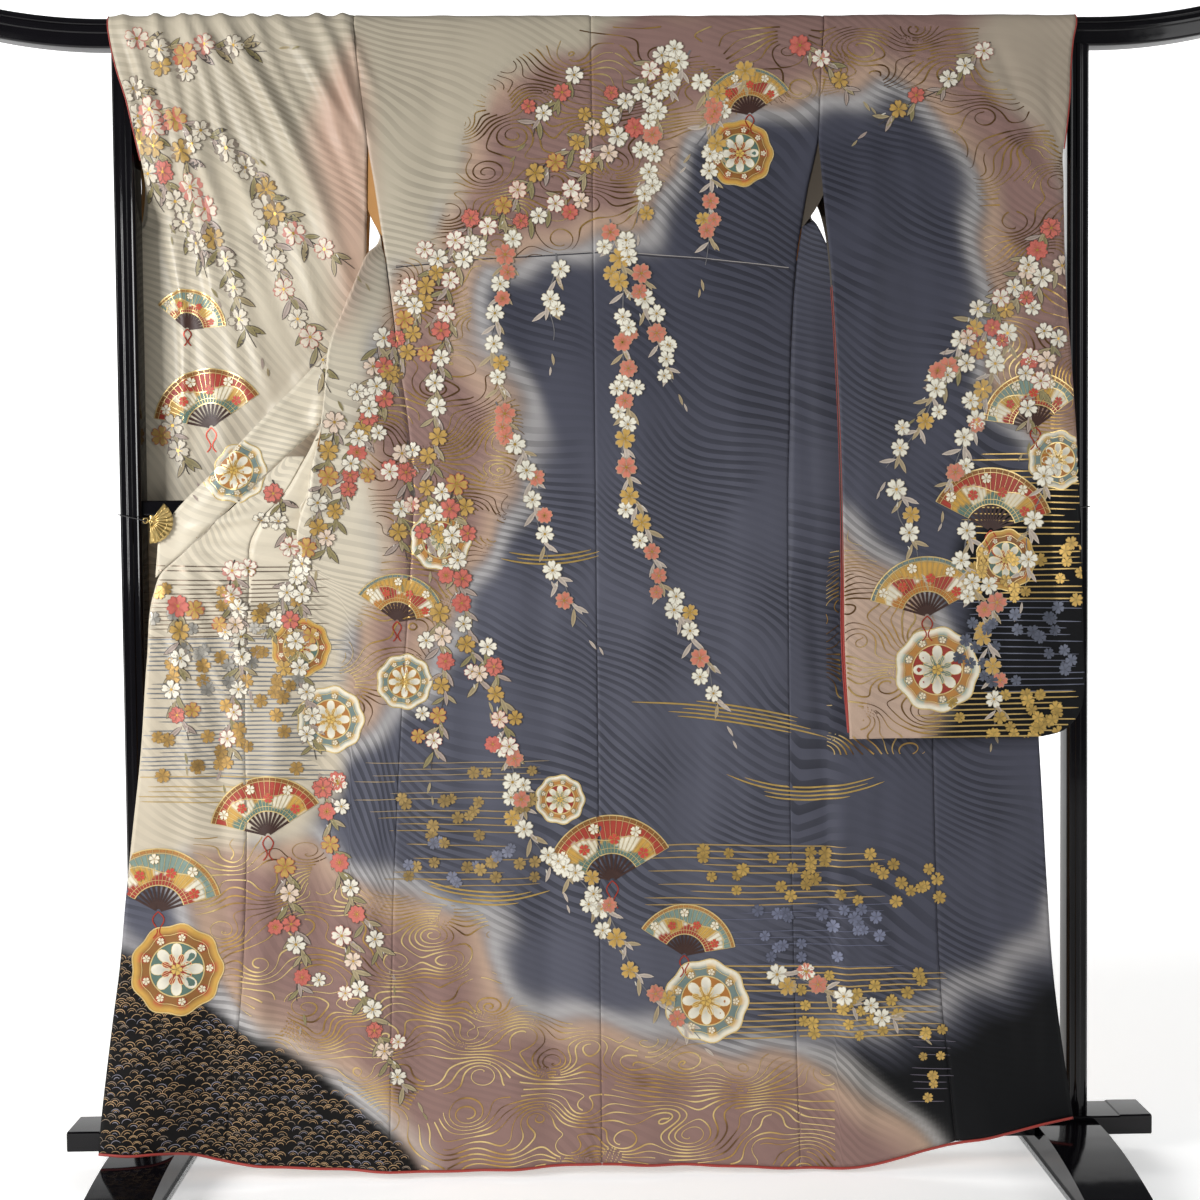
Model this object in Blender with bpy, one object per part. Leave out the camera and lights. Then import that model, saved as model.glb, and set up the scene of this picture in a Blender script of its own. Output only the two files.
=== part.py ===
"""A long-sleeved silk furisode hung on a black lacquered kimono stand.

The garment hangs over the top rail and is seen from its back. Its two fronts are drawn out
sideways, each held by a brass fan clip tied to a post.
Units are metres, +Z is up, -Y is the side that shows the back of the garment, and the origin
is on the floor at the middle of the stand. "out" is a distance from the middle of the stand,
to the left (-X) for side -1 and to the right (+X) for side +1.
"""
import math

import bmesh
import bpy
import numpy as np
from mathutils import Matrix

# Driving sizes
CLOTH = 0.002            # thickness of the lined silk wall
SEAM = 0.0003            # gap between pieces that are sewn or joined
CENTRE_X = -0.017        # the garment hangs a little to the left of the stand's middle
RAIL_TOP = 1.640
RAIL_HEIGHT = 0.042
RAIL_HALF = 0.925        # half of the rail's length
RAIL_STRAIGHT = 0.70     # the ends turn up beyond this
RAIL_RISE = 0.64         # rise of the ends for each squared metre past the straight part
POST_INNER = 0.661
POST_WIDTH = 0.031
POST_DEPTH = 0.036
BEAM_HALF = 0.781
BEAM_BOTTOM = 0.033
BEAM_TOP = 0.060
BEAM_DEPTH = 0.059
FOOT_INNER = 0.610
FOOT_WIDTH = 0.090
BAR_BOTTOM = 0.939
BAR_TOP = 0.962
BAR_DEPTH = 0.020
FUKI = 0.0040            # height of the lining rolled out past the hem
FUKI_DEPTH = 0.0028
CORD_RADIUS = 0.0008
FOLD_RADIUS = 0.012      # the cloth's bend over each upper corner of the rail
FOLD_CENTRE = (0.007, 1.630)
LEVEL_FROM = 0.30        # above this height the rows of cloth are level, below it they fan to the hem

# Side edge of each back: height, out on the left, out on the right
SIDE_EDGE = (
    (0.00, 0.315, 0.264), (0.20, 0.311, 0.259), (0.40, 0.306, 0.255), (0.55, 0.298, 0.253),
    (0.70, 0.289, 0.253), (0.85, 0.278, 0.253), (0.97, 0.272, 0.254), (1.06, 0.278, 0.257),
    (1.15, 0.290, 0.259), (1.23, 0.299, 0.263), (1.30, 0.308, 0.270), (1.34, 0.314, 0.2765),
    (1.40, 0.3225, 0.2875), (1.46, 0.332, 0.3015), (1.56, 0.344, 0.307), (1.63, 0.351, 0.313),
)
# Inner edge of each sleeve: height, out on the left, out on the right
SLEEVE_INNER = (
    (0.62, 0.345, 0.332), (0.75, 0.345, 0.325), (0.95, 0.345, 0.323), (1.09, 0.344, 0.319),
    (1.185, 0.343, 0.315), (1.275, 0.341, 0.310), (1.38, 0.336, 0.303), (1.46, 0.332, 0.3015),
    (1.56, 0.344, 0.307), (1.63, 0.351, 0.313),
)
# Free edge of each front under the arm, from the side seam's top to the sleeve: height, out, y
UNDERARM = {
    -1: ((1.300, 0.308, -0.039), (1.330, 0.316, -0.022), (1.360, 0.325, -0.002), (1.390, 0.332, 0.018),
         (1.420, 0.334, 0.0215)),
    1: ((1.337, 0.2765, -0.038), (1.355, 0.287, -0.020), (1.375, 0.298, 0.000), (1.395, 0.302, 0.018),
        (1.420, 0.3025, 0.0215)),
}
# Hem, all the way across: x, height of the lowest edge
HEM = (
    (-0.705, 0.061), (-0.66, 0.0575), (-0.625, 0.0562), (-0.605, 0.0540), (-0.592, 0.048), (-0.567, 0.036),
    (-0.545, 0.030),
    (-0.47, 0.022), (-0.379, 0.016), (-0.315, 0.013), (-0.245, 0.011), (-0.13, 0.014), (-0.02, 0.018),
    (0.08, 0.015), (0.184, 0.012), (0.265, 0.007), (0.30, 0.006), (0.358, 0.010), (0.42, 0.024),
    (0.483, 0.039), (0.555, 0.051), (0.644, 0.072),
)
# Seam between front and okumi: height, out on the left, out on the right
OKUMI_SEAM = (
    (0.00, 0.548, 0.484), (0.13, 0.534, 0.474), (0.26, 0.520, 0.464), (0.40, 0.512, 0.459),
    (0.54, 0.509, 0.457), (0.68, 0.512, 0.455), (0.78, 0.505, 0.455), (0.897, 0.500, 0.452),
    (0.98, 0.444, 0.410), (1.071, 0.394, 0.360),
)
# Free edge of each okumi: height, out on the left, out on the right
OKUMI_EDGE = (
    (0.00, 0.708, 0.652), (0.13, 0.700, 0.638), (0.25, 0.692, 0.627), (0.43, 0.676, 0.616),
    (0.55, 0.662, 0.610), (0.65, 0.651, 0.604), (0.73, 0.645, 0.600), (0.80, 0.637, 0.596),
    (0.852, 0.632, 0.598),
)
# Folds of the left front as a section's four inner guide points, each an out and a depth from
# the hanging plane. The cloth runs from the side seam past them to the okumi or collar seam.
# height | crest | behind the crest | return | behind the return
FRONT_FOLDS = (
    (0.00, 0.370, 0.0, 0.400, 0.0, 0.450, 0.0, 0.490, 0.0),
    (0.80, 0.340, 0.0, 0.380, 0.0, 0.420, 0.0, 0.460, 0.0),
    (0.86, 0.405, -0.008, 0.418, -0.004, 0.432, 0.000, 0.450, 0.002),
    (0.91, 0.431, -0.018, 0.431, -0.010, 0.412, -0.006, 0.415, 0.002),
    (0.96, 0.415, -0.020, 0.415, -0.011, 0.390, -0.006, 0.392, 0.002),
    (1.03, 0.403, -0.022, 0.403, -0.012, 0.370, -0.006, 0.372, 0.002),
    (1.07, 0.395, -0.023, 0.395, -0.013, 0.350, -0.006, 0.352, 0.003),
    (1.105, 0.391, -0.024, 0.391, -0.014, 0.330, -0.003, 0.332, 0.006),
    (1.14, 0.387, -0.025, 0.387, -0.015, 0.318, 0.000, 0.318, 0.010),
    (1.17, 0.383, -0.025, 0.383, -0.015, 0.312, 0.004, 0.308, 0.015),
    (1.20, 0.373, -0.025, 0.372, -0.015, 0.312, 0.009, 0.302, 0.022),
    (1.23, 0.358, -0.024, 0.356, -0.014, 0.314, 0.013, 0.297, 0.030),
    (1.26, 0.348, -0.022, 0.345, -0.012, 0.312, 0.020, 0.288, 0.040),
    (1.30, 0.331, -0.013, 0.331, -0.003, 0.306, 0.024, 0.275, 0.048),
    (1.32, 0.321, 0.014, 0.316, 0.024, 0.303, 0.036, 0.265, 0.053),
    (1.34, 0.317, 0.031, 0.308, 0.041, 0.293, 0.048, 0.255, 0.056),
    (1.36, 0.316, 0.045, 0.300, 0.050, 0.275, 0.056, 0.240, 0.059),
    (1.39, 0.305, 0.056, 0.280, 0.058, 0.255, 0.0595, 0.215, 0.060),
)
FOLD_TOP = 1.39           # above this a front hangs straight down the far side
RIGHT_FOLD_INSET = 0.012  # the right fold lies nearer the back low down
RIGHT_FOLD_DEPTH = 0.85   # and is shallower, under the sleeve that lies on it
RIGHT_FOLD_LIFT = 0.035   # and its top part sits higher
SIDE_KINK = 0.0009        # room for the wall's thickness where a front bends forward at its side seam
# Collar, from its left end to the middle of the neck, as distances from the garment's centre line:
# seam out, height, y | free edge out, height, y
COLLAR = (
    (0.615, 0.852, -0.0515, 0.610, 0.914, -0.0515),
    (0.558, 0.903, -0.0515, 0.583, 0.949, -0.0515),
    (0.498, 0.959, -0.050, 0.538, 0.995, -0.049),
    (0.438, 1.015, -0.048, 0.483, 1.052, -0.047),
    (0.377, 1.071, -0.046, 0.424, 1.113, -0.045),
    (0.345, 1.108, -0.043, 0.388, 1.150, -0.041),
    (0.321, 1.142, -0.036, 0.358, 1.181, -0.031),
    (0.298, 1.178, -0.022, 0.323, 1.216, -0.006),
    (0.273, 1.220, -0.003, 0.285, 1.255, 0.022),
    (0.245, 1.268, 0.012, 0.245, 1.297, 0.042),
    (0.215, 1.318, 0.020, 0.202, 1.343, 0.048),
    (0.181, 1.370, 0.0235, 0.155, 1.393, 0.046),
    (0.146, 1.425, 0.0245, 0.107, 1.447, 0.038),
    (0.115, 1.480, 0.0245, 0.066, 1.496, 0.031),
    (0.096, 1.535, 0.0240, 0.042, 1.533, 0.0275),
    (0.090, 1.575, 0.0235, 0.036, 1.543, 0.0270),
    (0.078, 1.5850, 0.0230, 0.032, 1.542, 0.0265),
    (0.043, 1.5885, 0.0225, 0.018, 1.541, 0.0260),
    (0.000, 1.5925, 0.0225, 0.000, 1.540, 0.0260),
)
COLLAR_RISING = 16       # stations from the end to where the band turns across the neck
COLLAR_TWIST = 0.0019    # the band stands off its seam where it twists over
# Depth of each sleeve's two layers and its outer edge:
# height | y of the near layer at its inner and outer edge | the same of the far layer | out of both
SLEEVE = {
    -1: ((0.62, 0.0247, 0.0262, 0.0273, 0.0288, 0.690, 0.690),
         (0.70, 0.0160, 0.0262, 0.0310, 0.0288, 0.690, 0.690),
         (1.00, 0.0140, 0.0262, 0.0300, 0.0288, 0.690, 0.690),
         (1.20, 0.0090, 0.0262, 0.0280, 0.0288, 0.690, 0.690),
         (1.30, -0.0020, 0.0260, 0.0240, 0.0286, 0.688, 0.689),
         (1.34, -0.0080, 0.0250, 0.0225, 0.0278, 0.678, 0.680),
         (1.365, -0.0115, 0.0225, 0.0225, 0.0262, 0.658, 0.670),
         (1.38, -0.0140, 0.0150, 0.0225, 0.0255, 0.655, 0.667),
         (1.41, -0.0215, -0.0040, 0.0220, 0.0240, 0.650, 0.664),
         (1.44, -0.0290, -0.0160, 0.0220, 0.0230, 0.651, 0.664),
         (1.46, -0.0322, -0.0195, 0.0218, 0.0222, 0.6555, 0.668),
         (1.53, -0.0287, -0.0205, 0.0208, 0.0210, 0.671, 0.678),
         (1.58, -0.0258, -0.0205, 0.0200, 0.0205, 0.686, 0.688),
         (1.605, -0.0237, -0.0205, 0.0196, 0.0205, 0.690, 0.691)),
    1: ((0.62, -0.0870, -0.0860, -0.0844, -0.0834, 0.660, 0.660),
        (0.70, -0.0900, -0.0850, -0.0760, -0.0824, 0.660, 0.660),
        (1.00, -0.0880, -0.0830, -0.0730, -0.0804, 0.652, 0.652),
        (1.20, -0.0820, -0.0790, -0.0690, -0.0764, 0.640, 0.640),
        (1.30, -0.0740, -0.0740, -0.0610, -0.0714, 0.636, 0.636),
        (1.32, -0.0710, -0.0730, -0.0560, -0.0704, 0.636, 0.636),
        (1.34, -0.0680, -0.0720, -0.0440, -0.0694, 0.636, 0.636),
        (1.36, -0.0640, -0.0705, -0.0260, -0.0675, 0.636, 0.636),
        (1.38, -0.0590, -0.0690, 0.0000, -0.0640, 0.6365, 0.6365),
        (1.40, -0.0530, -0.0670, 0.0200, -0.0570, 0.637, 0.637),
        (1.43, -0.0440, -0.0610, 0.0215, -0.0360, 0.638, 0.638),
        (1.466, -0.0325, -0.0530, 0.0215, -0.0100, 0.645, 0.643),
        (1.52, -0.0293, -0.0420, 0.0207, 0.0130, 0.654, 0.652),
        (1.57, -0.0263, -0.0290, 0.0200, 0.0198, 0.660, 0.6590),
        (1.605, -0.0237, -0.0215, 0.0196, 0.0202, 0.666, 0.664)),
}
SLEEVE_TOP_EDGE = {-1: 0.693, 1: 0.671}
SLEEVE_CORNER = 0.060    # radius of the rounded lower outer corner
SLEEVE_BOTTOM = 0.620
SLEEVE_SEWN = 1.46       # the sleeve is sewn to the back from here up
CUFF_END = 1.435         # the cuff opening runs from here over the rail to here

# Rows of cloth, as heights from the hem up. Pieces that share a seam share its rows.
LEVELS = (0.0, 0.06, 0.14, 0.22, 0.30, 0.40, 0.50, 0.62, 0.74, 0.83, 0.86, 0.88, 0.89, 0.90, 0.93, 0.97,
          1.02, 1.06, 1.10, 1.135, 1.165, 1.19, 1.215, 1.24, 1.27, 1.30, 1.32, 1.337, 1.355, 1.365, 1.375,
          1.395, 1.425, 1.46, 1.49, 1.525, 1.56, 1.605)
NECK_ROWS = (1.605, 1.597)      # rows past the rail that still reach the centre
NECK_POINT = 1.588              # first row of the front alone, where the neckline meets its edge
SLEEVE_ROWS = (0.62, 0.627, 0.64, 0.66, 0.68, 0.74, 0.86, 1.00, 1.12, 1.22, 1.29, 1.32, 1.34, 1.36, 1.38, 1.40,
               1.425, 1.46, 1.49, 1.525, 1.56, 1.605)
BODY_COLUMNS = 13
OKUMI_COLUMNS = 5
OKUMI_TOP = 1.03         # the point under the collar stops where it is too narrow to hold a row
SLEEVE_COLUMNS = 7


def read(table, column, at):
    """Value of a table's column at a height: cubic pieces that never pass beyond the rows they join."""
    keys = np.array([row[0] for row in table])
    values = np.array([row[column] for row in table])
    chord = np.diff(values) / np.diff(keys)
    before, after = chord[:-1], chord[1:]
    same_way = before * after > 0
    inner = np.where(same_way, 2 * before * after / np.where(same_way, before + after, 1), 0)
    slope = np.concatenate([chord[:1], inner, chord[-1:]])
    at = np.clip(at, keys[0], keys[-1])
    i = np.clip(np.searchsorted(keys, at) - 1, 0, len(keys) - 2)
    span = keys[i + 1] - keys[i]
    t = (at - keys[i]) / span
    return ((2 * t**3 - 3 * t**2 + 1) * values[i] + (t**3 - 2 * t**2 + t) * span * slope[i]
            + (3 * t**2 - 2 * t**3) * values[i + 1] + (t**3 - t**2) * span * slope[i + 1])


def ease(value, start, end):
    """Nought before start, one after end, and a smooth step between them."""
    t = np.clip((value - start) / (end - start), 0, 1)
    return t * t * (3 - 2 * t)


def side_column(side):
    """Column of a two-sided table that holds this side's values."""
    return 1 if side < 0 else 2


def hang(z):
    """Depth of the near side's hanging plane: it starts at the rail and drifts forward to the hem."""
    return -0.020 - 0.050 * (np.clip(1.62 - z, 0, None) / 1.62) ** 0.6


def far_hang(z):
    """Depth of the cloth that hangs down the far side of the rail."""
    return 0.0192 + 0.0052 * np.clip((1.62 - z) / 0.22, 0, 1) ** 0.7


def near_y(x, z):
    """Depth of the near side: the hanging plane, soft upright waves, and the left corner's flare."""
    wave = 0.0026 * np.clip(1 - z / 1.6, 0, 1)
    waves = wave * (np.sin(37.0 * (x + 0.1) + 0.8 * np.sin(5.7 * z)) + 0.6 * np.sin(67.5 * x + 1.3 + z))
    flare = 0.040 * ease(-x, 0.55, 0.66) * ease(-z, -0.36, -0.05)
    return hang(z) + waves - flare


def hem_z(x):
    """Height of the cloth's lower edge, just above the rolled lining."""
    return read(HEM, 1, x) + FUKI + SEAM


def lowered(level, x):
    """Height of a row at x: level rows high up, and rows that share out the height to the hem low down."""
    edge = hem_z(x)
    return np.where(level >= LEVEL_FROM, level, edge + (level / LEVEL_FROM) * (LEVEL_FROM - edge))


def over_rail():
    """Depths and heights of the cloth's rows over the rail, from the near side to the far side."""
    turn = np.radians([180, 150, 120, 90])
    near = [(-FOLD_CENTRE[0] + FOLD_RADIUS * math.cos(a), FOLD_CENTRE[1] + FOLD_RADIUS * math.sin(a))
            for a in turn]
    return near + [(-y, z) for y, z in reversed(near)]


def material(name, color, roughness, metallic=0.0):
    made = bpy.data.materials.new(name)
    made.use_nodes = True
    shader = made.node_tree.nodes["Principled BSDF"]
    shader.inputs["Base Color"].default_value = (*color, 1.0)
    shader.inputs["Roughness"].default_value = roughness
    shader.inputs["Metallic"].default_value = metallic
    return made


def add_mesh(name, vertices, faces, finish, merge=0.0):
    """Make one closed object, its faces turned outwards."""
    mesh = bpy.data.meshes.new(name)
    mesh.from_pydata([tuple(v) for v in vertices], [], faces)
    shape = bmesh.new()
    shape.from_mesh(mesh)
    if merge:
        bmesh.ops.remove_doubles(shape, verts=shape.verts, dist=merge)
    bmesh.ops.recalc_face_normals(shape, faces=shape.faces)
    shape.to_mesh(mesh)
    shape.free()
    mesh.materials.append(finish)
    made = bpy.data.objects.new(name, mesh)
    bpy.context.scene.collection.objects.link(made)
    return made


def wall(name, grid, finish, thickness=CLOTH):
    """Close a sheet of rows and columns of points into a wall, half its thickness to each side."""
    rows, columns, _ = grid.shape
    normal = np.cross(np.gradient(grid, axis=0), np.gradient(grid, axis=1))
    normal /= np.linalg.norm(normal, axis=2, keepdims=True)
    half = normal * thickness / 2
    vertices = np.concatenate([(grid + half).reshape(-1, 3), (grid - half).reshape(-1, 3)])
    other = rows * columns
    index = np.arange(other).reshape(rows, columns)
    a, b = index[:-1, :-1].ravel(), index[1:, :-1].ravel()
    c, d = index[1:, 1:].ravel(), index[:-1, 1:].ravel()
    faces = list(zip(a, b, c, d)) + list(zip(a + other, d + other, c + other, b + other))
    rim = np.concatenate([index[0, :], index[1:, -1], index[-1, -2::-1], index[-2:0:-1, 0]])
    following = np.roll(rim, -1)
    faces += list(zip(rim, following, following + other, rim + other))
    return add_mesh(name, vertices, [tuple(int(i) for i in face) for face in faces], finish)


def roll(name, path, axis, tall, deep, finish, sides=6):
    """Run a small oval section along a path. Axis is the direction across which the section is deep."""
    path = np.asarray(path)
    along = np.gradient(path, axis=0)
    up = np.cross(along, axis)
    up /= np.linalg.norm(up, axis=1, keepdims=True)
    across = np.cross(along, up)
    across /= np.linalg.norm(across, axis=1, keepdims=True)
    angles = 2 * math.pi * (np.arange(sides) + 0.5) / sides
    ring = [path + up * math.cos(a) * tall / 2 + across * math.sin(a) * deep / 2 for a in angles]
    vertices = np.stack(ring, axis=1).reshape(-1, 3)
    count = len(path)
    faces = [tuple(range(sides)), tuple(range((count - 1) * sides, count * sides))]
    for i in range(count - 1):
        for j in range(sides):
            k = (j + 1) % sides
            faces.append((i * sides + j, i * sides + k, (i + 1) * sides + k, (i + 1) * sides + j))
    return add_mesh(name, vertices, faces, finish)


def loft(name, sections, finish):
    """Join a row of equal-sided sections into one closed solid."""
    sides = len(sections[0])
    vertices = [point for section in sections for point in section]
    last = (len(sections) - 1) * sides
    faces = [tuple(range(sides)), tuple(range(last, last + sides))]
    for i in range(len(sections) - 1):
        for j in range(sides):
            k = (j + 1) % sides
            faces.append((i * sides + j, i * sides + k, (i + 1) * sides + k, (i + 1) * sides + j))
    return add_mesh(name, vertices, faces, finish, merge=0.00001)


def centre_out(side):
    """The centre back seam's out, half a seam's gap to this side of the garment's centre line."""
    return side * CENTRE_X + SEAM / 2


def collar_out(side, value):
    """Turn a distance from the garment's centre line into an out on this side."""
    return value + side * CENTRE_X


def collar_seam(side, z):
    """Out and y of the collar's seam at a height, between its end and the neck."""
    rising = [(row[1], row[0], row[2]) for row in COLLAR[:COLLAR_RISING]]
    return collar_out(side, read(rising, 1, z)), read(rising, 2, z)


def front_edge(side, z):
    """Out and y of a front's inner edge: the collar seam above, the okumi seam below it."""
    if z >= OKUMI_SEAM[-1][0]:
        return collar_seam(side, z)
    out = read(OKUMI_SEAM, side_column(side), z)
    return out, near_y(side * out, z)


def front_side(side, z):
    """Out and y of a front's outer edge: the side seam, the free edge under the arm, the sleeve's seam."""
    column = side_column(side)
    underarm = UNDERARM[side]
    if z <= underarm[0][0]:
        out = read(SIDE_EDGE, column, z) + SEAM + SIDE_KINK * ease(z, 1.12, 1.20)
        return out, near_y(side * out, z)
    if z < underarm[-1][0]:
        return read(underarm, 1, z) + SEAM + SIDE_KINK * (1 - ease(z, 1.34, 1.39)), read(underarm, 2, z)
    return read(SLEEVE_INNER, column, z), far_hang(z)


def guide_points(side, level):
    """Four guide points of a front's section between its side edge and its inner edge."""
    z, depth, shift, back = level, 1.0, 0.0, 0.0
    if side > 0:
        z = level - RIGHT_FOLD_LIFT * ease(level, 1.15, 1.30)
        depth = RIGHT_FOLD_DEPTH
        inset = RIGHT_FOLD_INSET * (1 - ease(level, 0.90, 1.15))
        (right_out, right_y), (left_out, left_y) = front_side(1, level), front_side(-1, z)
        shift = right_out - left_out - inset
        back = ease(level, 1.28, 1.33) * (right_y - hang(level) - left_y + hang(z))
    points = []
    for column in (1, 3, 5, 7):
        deep = read(FRONT_FOLDS, column + 1, z)
        points.append((read(FRONT_FOLDS, column, z) + shift, back + (deep * depth if deep < 0 else deep)))
    return points


def round_corner(before, corner, after, trim, steps):
    """Points of the curve that rounds one corner, from trim before it to trim past it."""
    back, ahead = before - corner, after - corner
    long_back, long_ahead = np.linalg.norm(back), np.linalg.norm(ahead)
    trim = min(trim, 0.45 * long_back, 0.45 * long_ahead)
    first, last = corner + back / long_back * trim, corner + ahead / long_ahead * trim
    return [(1 - t)**2 * first + 2 * t * (1 - t) * corner + t * t * last for t in steps]


def bent_row(start, guides, end):
    """Points of a front's section: straight legs from guide to guide with their corners rounded."""
    corners = [start, *guides, end]
    turns = ((0, 0.5, 1), (0, 0.5, 1), (0.2, 0.8), (0.2, 0.8))
    rounded = [round_corner(*corners[i:i + 3], 0.02, steps) for i, steps in enumerate(turns)]
    first = rounded[0][0]
    return np.array([start, (start + first) / 2] + [point for turn in rounded for point in turn] + [end])


def front_row(side, level):
    """One row of a front, from its side edge to its inner edge."""
    out_a, y_a = front_side(side, level)
    out_b, y_b = front_edge(side, level)
    if level > FOLD_TOP:
        stops = np.linspace(0, 1, BODY_COLUMNS)
        outs = out_a + (out_b - out_a) * stops
        ys = y_a + (y_b - y_a) * stops
    else:
        guides = [np.array([out, min(near_y(side * out, level) + deep, far_hang(level))])
                  for out, deep in guide_points(side, level)]
        row = bent_row(np.array([out_a, y_a]), guides, np.array([out_b, y_b]))
        outs, ys = row[:, 0], row[:, 1]
    zs = lowered(level, side * outs)
    if level < LEVEL_FROM:
        ys = near_y(side * outs, zs)
    return np.stack([side * outs, ys, zs], axis=1)


def back_row(side, level):
    """One row of a back, from its side edge to the centre seam."""
    outs = np.linspace(read(SIDE_EDGE, side_column(side), level), centre_out(side), BODY_COLUMNS)
    zs = lowered(level, side * outs)
    return np.stack([side * outs, near_y(side * outs, zs), zs], axis=1)


def far_top_row(side, level):
    """A row just past the rail on the far side, as wide as the back."""
    outs = np.linspace(read(SIDE_EDGE, side_column(side), level), centre_out(side), BODY_COLUMNS)
    depths = np.full(BODY_COLUMNS, far_hang(level))
    return np.stack([side * outs, depths, np.full(BODY_COLUMNS, level)], axis=1)


def body_grid(side):
    """One length of cloth: up the back, over the rail, down the far side and forward to the front's hem."""
    rows = [back_row(side, level) for level in LEVELS]
    outs = np.linspace(SIDE_EDGE[-1][side_column(side)], centre_out(side), BODY_COLUMNS)
    rows += [np.stack([side * outs, np.full(BODY_COLUMNS, y), np.full(BODY_COLUMNS, z)], axis=1)
             for y, z in over_rail()]
    rows += [far_top_row(side, level) for level in NECK_ROWS]
    rows += [front_row(side, level) for level in (NECK_POINT, *LEVELS[-2::-1])]
    return np.array(rows)


def okumi_grid(side):
    """The overlap panel from its seam with the front to its free edge, with a point under the collar."""
    ends = [(row[1], collar_out(side, row[0])) for row in COLLAR[:5]]
    rows = []
    for level in LEVELS:
        if level > OKUMI_TOP:
            break
        inner = read(OKUMI_SEAM, side_column(side), level) + 2 * SEAM
        if level > OKUMI_EDGE[-1][0]:
            outer = read(ends, 1, level) - 3 * SEAM
        else:
            outer = read(OKUMI_EDGE, side_column(side), level)
        outs = np.linspace(inner, outer, OKUMI_COLUMNS)
        zs = lowered(level, side * outs)
        rows.append(np.stack([side * outs, near_y(side * outs, zs), zs], axis=1))
    return np.array(rows)


def sleeve_row(side, level, far):
    """One row of a sleeve's near or far layer, which nears the other layer towards the outer edge."""
    table = SLEEVE[side]
    column = 3 if far else 1
    inner = read(SLEEVE_INNER, side_column(side), level) + SEAM
    if not far and level >= SLEEVE_SEWN:
        inner = read(SIDE_EDGE, side_column(side), level) + SEAM
    outer = read(table, 6 if far else 5, level)
    rise = min(level - SLEEVE_BOTTOM, SLEEVE_CORNER)
    outer -= SLEEVE_CORNER - math.sqrt(SLEEVE_CORNER**2 - (SLEEVE_CORNER - rise)**2)
    across = np.linspace(0, 1, SLEEVE_COLUMNS)
    outs = inner + (outer - inner) * across
    start, end = read(table, column, level), read(table, column + 1, level)
    ys = start + (end - start) * across**2
    return np.stack([side * outs, ys, np.full(SLEEVE_COLUMNS, level)], axis=1)


def sleeve_grid(side):
    """One length of cloth: up the near layer, over the rail and down the far layer."""
    outs = np.linspace(SIDE_EDGE[-1][side_column(side)] + SEAM, SLEEVE_TOP_EDGE[side], SLEEVE_COLUMNS)
    rows = [sleeve_row(side, level, False) for level in SLEEVE_ROWS]
    rows += [np.stack([side * outs, np.full(SLEEVE_COLUMNS, y), np.full(SLEEVE_COLUMNS, z)], axis=1)
             for y, z in over_rail()]
    rows += [sleeve_row(side, level, True) for level in reversed(SLEEVE_ROWS)]
    return np.array(rows)


def collar_station(side, row):
    """Two edge points and the middle of the band at one station, its seam edge held off the cloth's."""
    seam_out, seam_z, seam_y, free_out, free_z, free_y = row
    seam = np.array([side * collar_out(side, seam_out), seam_y, seam_z])
    free = np.array([side * collar_out(side, free_out), free_y, free_z])
    twist = ease(seam_z, 1.08, 1.13) * (1 - ease(seam_z, 1.47, 1.55))
    seam = seam + (free - seam) / np.linalg.norm(free - seam) * (2 * SEAM + COLLAR_TWIST * twist)
    return [seam, (seam + free) / 2, free]


def build_collar(name, finish):
    """One folded band from the left end round the neck to the right end."""
    rising = [(row[1], *row) for row in COLLAR[:COLLAR_RISING]]
    seam_levels = [level for level in LEVELS if COLLAR[4][1] < level < COLLAR[COLLAR_RISING - 1][1]]
    rows = list(COLLAR[:5])
    rows += [[read(rising, column, level) for column in range(1, 7)] for level in seam_levels]
    rows += COLLAR[COLLAR_RISING - 1:]
    left = [collar_station(-1, row) for row in rows]
    right = [collar_station(1, row) for row in rows]
    return wall(name, np.array(left + right[-2::-1]), finish)


def build_hem_roll(name, body, okumi, finish):
    """The red lining rolled out along the hem, from the centre seam to the okumi's corner."""
    path = np.concatenate([body[0, ::-1], body[-1, 1:], okumi[0, 1:]])
    path = path - np.array([0, 0, SEAM + FUKI / 2])
    return roll(name, path, (0, 1, 0), FUKI, FUKI_DEPTH, finish)


def build_cuff_roll(side, name, grid, finish):
    """The red lining rolled out along the cuff opening, over the rail and down both layers."""
    edge = grid[:, -1, :]
    path = edge[edge[:, 2] >= CUFF_END].copy()
    path[:, 0] += side * (SEAM + 0.0011)
    return roll(name, path, (1, 0, 0), CLOTH, 0.0022, finish)


def rail_section(x):
    """Moulded section of the rail at x: half-depths against the drop from the top, then mirrored."""
    profile = ((0.0070, 0.0), (0.0130, 0.0025), (0.0165, 0.0090), (0.0155, 0.0112), (0.0170, 0.0128),
               (0.0170, 0.0215), (0.0155, 0.0235), (0.0135, 0.0400), (0.0115, RAIL_HEIGHT))
    rise = RAIL_RISE * max(abs(x) - RAIL_STRAIGHT, 0)**2
    near = [(x, -y, RAIL_TOP + rise - drop) for y, drop in profile]
    return near + [(x, y, RAIL_TOP + rise - drop) for y, drop in reversed(profile)]


def build_rail(finish):
    bends = np.linspace(RAIL_STRAIGHT, RAIL_HALF, 6)
    stations = [-x for x in reversed(bends)] + list(bends)
    loft("top_rail", [rail_section(x) for x in stations], finish)


def eight_sided(centre, width, depth, chamfer, z):
    """Level section of a squared post with small chamfers."""
    w, d, c = width / 2, depth / 2, chamfer
    corners = ((-w + c, -d), (w - c, -d), (w, -d + c), (w, d - c),
               (w - c, d), (-w + c, d), (-w, d - c), (-w, -d + c))
    return [(centre + x, y, z) for x, y in corners]


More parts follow.
